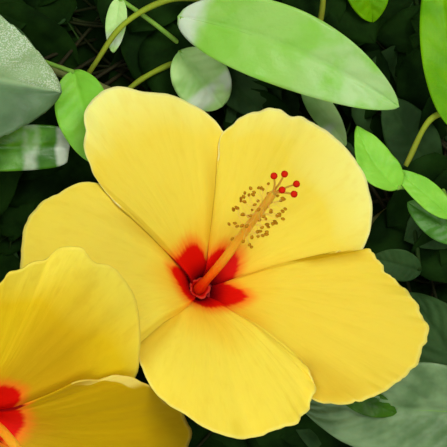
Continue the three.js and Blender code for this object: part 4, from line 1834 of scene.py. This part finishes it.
    def collar_place(self, co: Vector) -> Vector:
        """A corner of the lobed collar round the column's foot, from one of the stock sheet.

        Args:
            co: a corner of the stock sheet.

        Returns:
            The collar's corner.
        """
        angle = -co.y * math.tau
        lobe = (0.5 + 0.5 * math.cos(5 * angle)) ** 0.6
        out = mix(2.0, 2.9 + 0.7 * lobe, co.x)
        height = mix(0.4, 2.1 + 0.5 * lobe, math.sin(co.x * 2.1)) + 0.25 * math.sin(10 * angle) * co.x
        return self.on_branch(round_the_axis(angle) * out + Vector((-1.0, 0.0, height)))

    def bottom_place(self, co: Vector) -> Vector:
        """A corner of the throat's crimson bottom, which closes the gaps between the claws."""
        out = round_the_axis(-co.y * math.tau) * mix(1.0, 5.4, co.x)
        return self.on_branch(out + UP * mix(-0.6, 0.1, co.x))

    def build_stamens(self, node: str) -> None:
        """Builds the filaments, which curve out of the upper column, and the anther on each.

        Args:
            node: the column's node.
        """
        filaments = Gathering(f"{node}_filaments")
        anthers = Gathering(f"{node}_anthers")
        deal = Deal(self.stamens + int(self.lean))
        for i in range(self.stamens):
            share = 0.59 + 0.34 * (i / (self.stamens - 1)) ** 0.8
            angle = i * self.GOLDEN_ANGLE + 0.5 * deal.next()
            reach = self.filament * deal.between(*self.FILAMENT_REACH)
            reach *= 1.0 - 0.35 * smooth(0.8, 1.0, share)
            ahead = deal.between(*self.FILAMENT_AHEAD)
            root = self.column_place(share, 1.0, angle)
            bend = self.column_place(share, 1.0 + reach * 0.55, angle + 0.1, ahead * 0.2)
            tip = self.column_place(share, 1.3 + reach, angle + 0.25 * deal.next(), ahead)
            path = self.line([root, bend, tip])
            filaments.bar(path, lambda s, a: self.FILAMENT_RADIUS, 4, 5)
            turn = self.turn @ Quaternion(round_the_axis(angle), 1.1 + deal.next())
            size = deal.between(*self.ANTHER_SIZE)
            tip_place = path.at(1.0)

            def place(co: Vector) -> Vector:
                """A corner of the kidney-shaped anther."""
                swell = size * (1.0 - 0.25 * co.x * co.x)
                bent = co.y * swell + 0.25 * size * co.x * co.x
                return tip_place + turn @ Vector((co.x * size * 1.5, bent, co.z * swell))

            anthers.form(STOCK.bead(2), place, chart=bead_chart)
        delivered(filaments, Slot.COLUMN, [FILAMENT], node)
        delivered(anthers, Slot.COLUMN, [ANTHER], node)

    def build_styles(self, node: str) -> None:
        """Builds the five styles, which part at the column's end, with their velvety stigmas.

        Args:
            node: the column's node.
        """
        styles = Gathering(f"{node}_styles")
        stigmas = Gathering(f"{node}_stigmas")
        for number, (spread, toward) in enumerate(self.styles):
            angle = math.radians(toward)
            points = [self.column_place(0.9, 0.5, angle), self.column_place(0.97, 0.6, angle, 1.5)]
            points.append(self.column_place(0.97, spread * 0.45, angle, 5.0))
            points.append(self.column_place(0.97, spread, angle, 9.0))
            path = self.line(points)
            styles.bar(path, lambda s, a: mix(0.42, 0.27, s), 8, 16)
            tip = path.at(1.0)

            def place(co: Vector) -> Vector:
                """A corner of the round stigma, rough with fine hairs."""
                return tip + co * (1.02 + 0.12 * grain(co.x * 4 + number, co.y * 4, co.z * 4))

            stigmas.form(STOCK.bead(4), place, chart=bead_chart)
        delivered(styles, Slot.COLUMN, [STYLE], node)
        delivered(stigmas, Slot.COLUMN, [STIGMA], node)

    def cup_radius(self, depth: float) -> float:
        """The calyx cup's radius at a depth below the throat."""
        share = min(max(depth / self.calyx_depth, 0.0), 1.0)
        return 5.7 * math.sqrt(max(1 - share ** 2.6, 0.0)) * 0.7 + 1.9

    def build_calyx(self) -> None:
        """Builds the ribbed green cup with its five lobes and, below them, seven narrow bracts."""
        node = f"{self.name}_calyx"
        calyx = Gathering(f"{node}_cup")

        def cup(co: Vector) -> Vector:
            """A corner of the cup's wall.

            Args:
                co: a corner of the stock sheet.

            Returns:
                The wall's corner.
            """
            angle = -co.y * math.tau
            depth = self.calyx_depth * (1 - co.x)
            ribs = 1 + 0.035 * abs(math.cos(5 * angle)) * smooth(0, 3, self.calyx_depth - depth)
            return self.on_branch(round_the_axis(angle) * (self.cup_radius(depth) * ribs) - UP * depth)

        calyx.form(STOCK.sheet(14, 60), cup, chart=lambda co: (co.y, 0.5 * co.x))
        lobes = (5, (4.4, -4.5), (19.0, 7.5), 4.2, LOBE_FORM)
        bracts = (7, (2.6, -7.6), (14.0, -5.0), 1.3, BRACT_FORM)
        for count, base, tip, half_width, form in (lobes, bracts):
            for i in range(count):
                out = round_the_axis(math.tau * i / count)
                blade = Leaf.grown(out * base[0] + UP * base[1], out * tip[0] + UP * tip[1], half_width, 0.0)
                blade.arch = -1.2
                blade.form_in(calyx, form, i * 1.3, self.on_branch)
        delivered(calyx, Slot.GREEN, [CALYX], node, thickness=self.CALYX_WALL)

    def build_stalk(self, root: Vector) -> None:
        """Builds the flower stalk, which rises from its root on the bough and has a joint near the calyx.

        Args:
            root: where it leaves the bough.
        """
        node = f"{self.name}_stalk"
        stalk = Gathering(f"{node}_rod")
        below = self.on_branch(UP * -(self.calyx_depth + 12))
        foot = self.on_branch(UP * -(self.calyx_depth - 0.4))
        path = Path([root, below, foot])

        def radius(share: float, angle: float) -> float:
            """The stalk's radius: faint ridges, a joint and a wider end under the calyx."""
            joint = 0.35 * hump(share, 0.8, 0.012)
            ridges = 0.05 * math.cos(6 * angle + 9 * share)
            return mix(*self.stalk_radii, share) + joint + ridges + 0.7 * smooth(0.94, 1.0, share)

        stalk.bar(path, radius, 16, 70)
        delivered(stalk, Slot.GREEN, [STALK], node)

    def build(self, root: Vector) -> None:
        """Builds the whole bloom, whose stalk starts at root.

        Args:
            root: where its stalk leaves the bough.
        """
        self.build_petals()
        self.build_column()
        self.build_calyx()
        self.build_stalk(root)
        log.info("%s is built", self.name)


BLOOM_1 = Bloom(
    name="bloom_1",
    throat=(-7.4, -21.8, 45.0),
    lean=20.0,
    lean_toward=48.0,
    column_lean=21.0,
    column_toward=59.0,
    first_claw=120.0,
    petals=(
        Petal(
            120, 79.5, -1, (35, 20), (0.49, 0.67), (-0.27, 0.05),
            eye=(11, 14, 20, 20.2, 20.8, 20, 15.5, 11.8, 10), frill=(0.2, 0.3), curl=(-0.8, -2.1),
            dents=((-0.43, 0.06, 1.1), (0.2, 0.11, 2.6), (0.66, 0.06, 1.2)), tones=PALE_SUN,
            painted_shades=(PaintedShade((0.72, 0.8, 1.1, 1.2), (0.2, 0.3, 0.6, 0.9), 0.6),),
        ),
        Petal(
            48, 71, 0, (37, 32.5), (0.54, 0.67), (0.1, 0.21),
            eye=(14, 15, 18.7, 20.1, 20.6, 19.3, 16.3, 13.6, 11.5), frill=(0.3, 0.6), pitch=8.0,
            curl=(-0.8, -2.8), dents=((-0.87, 0.08, -2.6), (-0.72, 0.08, -1.6), (-0.36, 0.07, 2.5)),
            tones=PALE_SUN,
        ),
        Petal(
            -18.5, 79.5, 0, (33.5, 27.2), (0.57, 0.64), (0, -0.36),
            eye=(12, 12, 13, 16.5, 20.4, 18.4, 14.8, 12.5, 11), frill=(0.8, 1.0), pitch=13.0,
            curl=(-0.8, -2.4), dents=((-0.73, 0.05, -1.8), (-0.52, 0.04, 1.8), (0.36, 0.1, 1.0)),
            painted_shades=(
                PaintedShade((-0.2, -0.1, 0.12, 0.2), (0.58, 0.68, 0.9, 1.0), 1.0),
                PaintedShade((0.68, 0.76, 0.86, 0.96), (0.55, 0.75, 0.92, 1.04), 0.45),
            ),
        ),
        Petal(
            -85, 61.4, 2, (33.2, 32), (0.46, 0.71), (-0.35, 0.22),
            eye=(18, 16.3, 14.5, 13.3, 11.9, 10.4, 9.7, 9.6, 9.5), frill=(0.3, 1.3), pitch=8.0,
            curl=(-0.8, -2.2), crease=0.0, tones=SOFT_SUN, dents=((0.13, 0.08, 0.8), (0.3, 0.1, 1.2)),
            painted_shades=(PaintedShade((0.78, 0.88, 1.1, 1.2), (0.25, 0.4, 1.1, 1.2), 0.5),),
        ),
        Petal(
            -180, 70.3, -17, (36.2, 36), (0.63, 0.66), (0.37, -0.06),
            eye=(13.9, 13.9, 13.9, 14.1, 14.3, 16.1, 19.1, 16, 12), frill=(0.4, 0.3), pitch=11.0,
            curl=(-0.8, -3.5), crease=0.0, tones=SOFT_SUN, dents=((0.58, 0.12, 1.9), (0.4, 0.1, 0.9)),
            painted_shades=(PaintedShade((0.76, 0.87, 1.1, 1.2), (0.22, 0.28, 0.5, 0.85), 0.6),),
        ),
    ),
    styles=((3.7, 178.4), (1.3, 92.7), (3.75, -27.4), (4.9, -112.2), (5.8, -71.0)),
)
BLOOM_2 = Bloom(
    name="bloom_2",
    throat=(-78.5, -58.0, 70.0),
    lean=22.0,
    lean_toward=-42.0,
    column_lean=20.0,
    column_toward=-42.0,
    column_bow=(3.1, 4.8),
    first_claw=56.0,
    petals=(
        Petal(
            62.5, 76.5, 7, (46, 23.7), (0.3, 0.64), (0, -0.5),
            eye=(13, 17, 20, 22, 22.8, 24.2, 24.3, 20.3, 15), frill=(0.5, 1.0), pitch=5.0,
            dents=((-0.48, 0.04, -1.6), (-0.26, 0.06, 3.2), (0.05, 0.05, 1.8), (0.61, 0.05, -1.0)),
            tones=HALF_SHADED, painted_shades=(PaintedShade((0.3, 0.6, 1.1, 1.2), (0.18, 0.32, 0.56, 0.86), 0.8),),
        ),
        Petal(
            -10.5, 80.8, -22, (35, 29), (0.56, 0.54), (0, -0.27),
            eye=(19, 22, 23, 22.8, 21.5, 20, 17, 14, 12), curl=(0.0, 0.8), tones=SHADED,
            dents=((-0.85, 0.08, 2.0), (-0.34, 0.08, 2.6), (-0.15, 0.06, 1.2)),
            rolled_highlight=(0.0, 0.12, 0.2, 0.24),
        ),
        Petal(-86, 71, -2, (35, 35), (0.56, 0.56), (0, 0), tones=SHADED),
        Petal(-157, 70, -3, (35, 35), (0.56, 0.56), (0, 0)),
        Petal(-227, 72, -1, (35, 35), (0.56, 0.56), (0, 0)),
    ),
    styles=((3.4, 0.0), (3.8, 72.0), (3.2, 144.0), (3.9, 216.0), (3.5, 288.0)),
)

STEM_LINE = ((36, -158, 3.4), (24, -108, 9), (9, -45, 17), (-3, 15, 24), (-10, 56, 28))
LOWER_LEFT_LINE = ((-30, -104, 18), (-40, -117, 16), (-50, -129, 13))
MAIN_STEM = Limb("main_stem", STEM_LINE, (3.7, 1.9), 28, 0.8, 40)
BOUGH_LEFT = Limb("bough_left", ((20, -92, 11), (-30, -104, 18), (-82, -88, 25), (-108, -70, 26)), (2.7, 1.7))
BOUGH_RIGHT = Limb("bough_right", ((5, -25, 19.5), (34, -12, 22), (62, 8, 25)), (2.3, 1.6))
BOUGH_LOWER_RIGHT = Limb("bough_lower_right", ((27, -120, 8), (46, -110, 13), (68, -100, 16)), (2.2, 1.6))
BOUGH_UPPER_LEFT = Limb("bough_upper_left", ((-3, 15, 24), (-40, 45, 27), (-80, 60, 29)), (2.3, 1.6))
BOUGH_LOWER_LEFT = Limb("bough_lower_left", LOWER_LEFT_LINE, (2.0, 1.5), samples=16)
LIMBS = (MAIN_STEM, BOUGH_LEFT, BOUGH_RIGHT, BOUGH_LOWER_RIGHT, BOUGH_UPPER_LEFT, BOUGH_LOWER_LEFT)

# The deep leaves placed low under the blooms are painted shade: dark leaves that fill the shade under the
# branch.
MASSES = (
    Mass(
        "foliage_upper_left",
        BOUGH_UPPER_LEFT,
        ((-112, 62, 34), (-146, 50, 34)),
        (
            Spot(0.85, (-131, 56, 58), (-51.6, 41.4, 62), 27, 6, Tone.FROST, form=TOOTHED_FORM),
            Spot(0.75, (-120, 24, 44), (-50.5, 25.5, 46), 7.6, 8, Tone.GLOSSY, blunt=0.16),
            Spot(0.1, (-49, 50, 46), (-41, 19, 50), 9, 0, Tone.FRESH),
            Spot(0.45, (-80, 68, 34), (-60, 46, 34), 7, 0, Tone.SHADY),
            Spot(0.02, (-62, 86, 13), (-43, 48, 10), 15, 0, Tone.DEEP),
            Spot(0.1, (-84, 84, 14), (-62, 50, 12), 14, 0, Tone.DEEP),
        ),
        11,
        11,
    ),
    Mass(
        "foliage_top",
        MAIN_STEM,
        ((0, 88, 33), (12, 116, 31)),
        (
            Spot(0.12, (-15, 68, 45), (57, 38, 50), 13, 8, Tone.BRIGHT, -4),
            Spot(0.05, (-15, 57.8, 34), (-0.5, 39.4, 34), 9.6, 0, Tone.PALE, blunt=0.5),
            Spot(0.02, (-35, 76, 34), (-37.2, 57.5, 34), 3.6, 0, Tone.PALE),
            Spot(0.1, (-6, 58, 29), (16, 36, 27), 8, 0, Tone.SHADY),
            Spot(0.12, (27, 47.5, 30), (41.5, 26.5, 30), 4.4, 0, Tone.PALE),
            Spot(0.02, (-26, 82, 13), (-40, 46, 10), 13, 0, Tone.DEEP),
            Spot(0.02, (24, 66, 13), (2, 38, 10), 13, 0, Tone.DEEP),
            Spot(0.6, (46, 92, 34), (51, 69, 26), 8, 0, Tone.LIME),
        ),
        11,
        23,
        (
            Shoot(((-4, 76, 32), (-19, 74, 40), (-33, 66, 41), (-43, 53, 38), (-50, 44, 30)), (1.1, 0.8)),
            Shoot(((-10, 57, 29), (-18, 54, 30), (-28, 48.5, 32), (-38, 40, 33)), (1.1, 0.8)),
            Shoot(((8, 104, 32), (26, 92, 36), (33, 78, 38), (32, 64, 35)), (1.2, 0.9)),
        ),
    ),
    Mass(
        "foliage_right",
        BOUGH_RIGHT,
        ((92, 24, 32), (122, 36, 30)),
        (
            Spot(0.15, (57.5, 11.5, 44), (44, 32, 44), 6.6, 15, Tone.FRESH, -2.6, blunt=0.85),
            Spot(0.2, (75.5, 2, 42), (57, 17.5, 42), 4.5, 10, Tone.FRESH),
            Spot(0.3, (76.5, 30.5, 48), (70, 88, 46), 9, -10, Tone.LIME),
            Spot(0.1, (71, 17, 25), (55.4, 43, 28), 9, 0, Tone.SHADY),
            Spot(0.1, (81, -5, 37), (61.5, 7, 38), 6.2, 0, Tone.MIDDLE),
            Spot(0.02, (66.5, -16, 32), (50, -11.5, 34), 5.4, 0, Tone.SHADY),
            Spot(0.3, (68, 80, 13), (45, 44, 10), 15, 0, Tone.DEEP),
            Spot(0.1, (60, 48, 12), (32, 26, 9), 12, 0, Tone.DEEP),
            Spot(0.02, (70, 24, 12), (46, -4, 8), 12, 0, Tone.DEEP),
        ),
        11,
        37,
        (Shoot(((92, 26, 33), (80, 36, 42), (69, 35, 45), (60, 19, 43)), (1.1, 0.9)),),
    ),
    Mass(
        "foliage_lower_right",
        BOUGH_LOWER_RIGHT,
        ((96, -88, 23), (124, -74, 22)),
        (
            Spot(0.25, (90, -63, 36), (24.4, -59.5, 36), 18, -8, Tone.SILVER, form=PLEATED_FORM, blunt=0.85),
            Spot(0.5, (88, -60, 28), (63, -24, 26), 12, 0, Tone.SHADY, form=PLEATED_FORM),
            Spot(0.3, (38, -55, 41), (57.5, -63, 40), 4.6, 0, Tone.MOSS),
            Spot(0.02, (6, -96, 14), (-17, -66, 9), 14, 0, Tone.DEEP),
            Spot(0.1, (34, -94, 14), (10, -62, 9), 14, 0, Tone.DEEP),
        ),
        12,
        41,
    ),
    Mass("foliage_left", BOUGH_LEFT, ((-132, -50, 30), (-146, -26, 28)), (), 13, 53),
    Mass(
        "foliage_lower_left",
        BOUGH_LOWER_LEFT,
        ((-60, -144, 15), (-72, -160, 18)),
        (Spot(0.02, (-42, -70, 13), (-17, -42, 9), 11, 0, Tone.DEEP),),
        11,
        67,
    ),
)


@dataclass
class Branch:
    """The whole cut branch: limbs, blooms and masses of foliage."""

    limbs: tuple[Limb, ...]
    blooms: tuple[Bloom, ...]
    masses: tuple[Mass, ...]
    low: Vector
    high: Vector

    BLOOM_CLEARANCE = 4.0
    BLOOM_REACH = 84.0
    CALYX_REACH = 22.0
    FUNNEL_RISE = 25.0
    FUNNEL_LENGTH = 20.0
    GROUND_SLACK = 0.01
    STALK_SHARES = (0.52, 0.72)

    def beyond(self, place: Vector) -> bool:
        """Whether a place lies outside the branch's framed reach."""
        return not (self.low.x < place.x < self.high.x and self.low.y < place.y < self.high.y)

    def taken(self, place: Vector, limbs: bool = True) -> bool:
        """Whether a place lies too near a bloom, a limb or the ground to hold a leaf.

        Args:
            place: the place on the branch.
            limbs: whether limbs count.

        Returns:
            True where no leaf may be.
        """
        if place.z < -BEARING - self.GROUND_SLACK:
            return True
        for bloom in self.blooms:
            local = bloom.turn.inverted() @ (place - bloom.centre)
            radius = math.hypot(local.x, local.y)
            if radius >= self.BLOOM_REACH:
                continue
            bent = (radius / bloom.petal_length) ** 2 * bloom.bend_toward(bearing(local))
            lowest = self.FUNNEL_RISE * (1 - math.exp(-radius / self.FUNNEL_LENGTH)) + bent
            if radius < self.CALYX_REACH:
                lowest = -bloom.calyx_depth
            if local.z > lowest - self.BLOOM_CLEARANCE:
                return True
        return limbs and any(Mass.nearest(limb.probes, place) < limb.reach for limb in self.limbs)

    def build(self) -> None:
        """Builds the branch from its stem outwards."""
        for limb in self.limbs:
            limb.build()
        for bloom, carrier, share in zip(self.blooms, self.limbs, self.STALK_SHARES):
            bloom.build(carrier.path.at(share))
        for mass in self.masses:
            mass.deal_leaves(self)
        for mass in self.masses:
            mass.deal_fine_twigs(self)
            mass.build()


@dataclass(frozen=True)
class Lamp:
    """A soft studio light aimed at the blooms: place in metres, size, strength in watts and colour."""

    name: str
    place: Point
    size: float
    watts: float
    colour: Point = (1.0, 1.0, 1.0)


@dataclass
class Studio:
    """The pale floor, soft lights and camera, which looks straight down as the photograph's does."""

    eye: Point = (0.010231, 0.026885, 0.490)
    lens: float = 109.13
    aim: Point = (0.0, 0.01, 0.05)
    lamps: tuple[Lamp, ...] = (
        Lamp("key", (0.4, 0.45, 0.95), 0.5, 6.6, (1.0, 0.98, 0.94)),
        Lamp("fill", (-0.35, -0.45, 0.85), 0.8, 4.5),
        Lamp("top", (-0.25, 0.35, 1.25), 1.0, 3.1),
    )

    SKY = 0.12
    SENSOR = 36.0
    NEAR = 0.01
    FLOOR_SIZE = 4.0
    FLOOR_DEPTH = 0.0003

    def build(self) -> None:
        """Sets up the studio."""
        self.build_floor()
        for lamp in self.lamps:
            self.build_lamp(lamp)
        world = bpy.data.worlds.new("studio")
        world.use_nodes = True
        sky = world.node_tree.nodes["Background"]
        sky.inputs["Color"].default_value = (1.0, 1.0, 1.0, 1.0)
        sky.inputs["Strength"].default_value = self.SKY
        scene = bpy.context.scene
        scene.world = world
        scene.view_settings.view_transform = "Standard"
        data = bpy.data.cameras.new("camera")
        data.lens = self.lens
        data.sensor_width = self.SENSOR
        data.clip_start = self.NEAR
        camera = bpy.data.objects.new("camera", data)
        camera.location = self.eye
        scene.collection.objects.link(camera)
        scene.camera = camera

    def build_floor(self) -> None:
        """Lays the plain pale floor just under the branch."""
        Stock.deselect()
        bpy.ops.mesh.primitive_plane_add(size=self.FLOOR_SIZE, location=(0.0, 0.0, -self.FLOOR_DEPTH))
        bpy.ops.object.transform_apply(location=True)
        floor = bpy.context.object
        floor.name = "floor"
        graph = Graph("floor_paper", 0.9)
        fibres = graph.grain(graph.place(), 120.0, 3.0)
        colour = graph.blend(fibres, (226, 225, 220), (219, 218, 213))
        floor.data.materials.append(graph.dress(colour, graph.bump(fibres, 0.1)))
        floor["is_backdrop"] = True

    def build_lamp(self, lamp: Lamp) -> None:
        """Hangs a square area light that faces the aim.

        Args:
            lamp: the light to hang.
        """
        data = bpy.data.lights.new(lamp.name, "AREA")
        data.size = lamp.size
        data.energy = lamp.watts
        data.color = lamp.colour
        made = bpy.data.objects.new(lamp.name, data)
        made.location = lamp.place
        made.rotation_euler = (Vector(self.aim) - Vector(lamp.place)).to_track_quat("-Z", "Y").to_euler()
        bpy.context.scene.collection.objects.link(made)


def corners(box: tuple[Vector, Vector]) -> list[list[float]]:
    """A box's two corners as plain lists of numbers."""
    return [list(corner) for corner in box]


def main() -> None:
    """Loads the frame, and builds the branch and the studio."""
    logging.basicConfig(level=logging.INFO, format="%(message)s")
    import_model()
    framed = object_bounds()
    Studio().build()
    low, high = (corner / MM - ORIGIN for corner in framed)
    Branch(LIMBS, (BLOOM_1, BLOOM_2), MASSES, low, high).build()
    Stock.deselect()


if __name__ == "__main__":
    main()
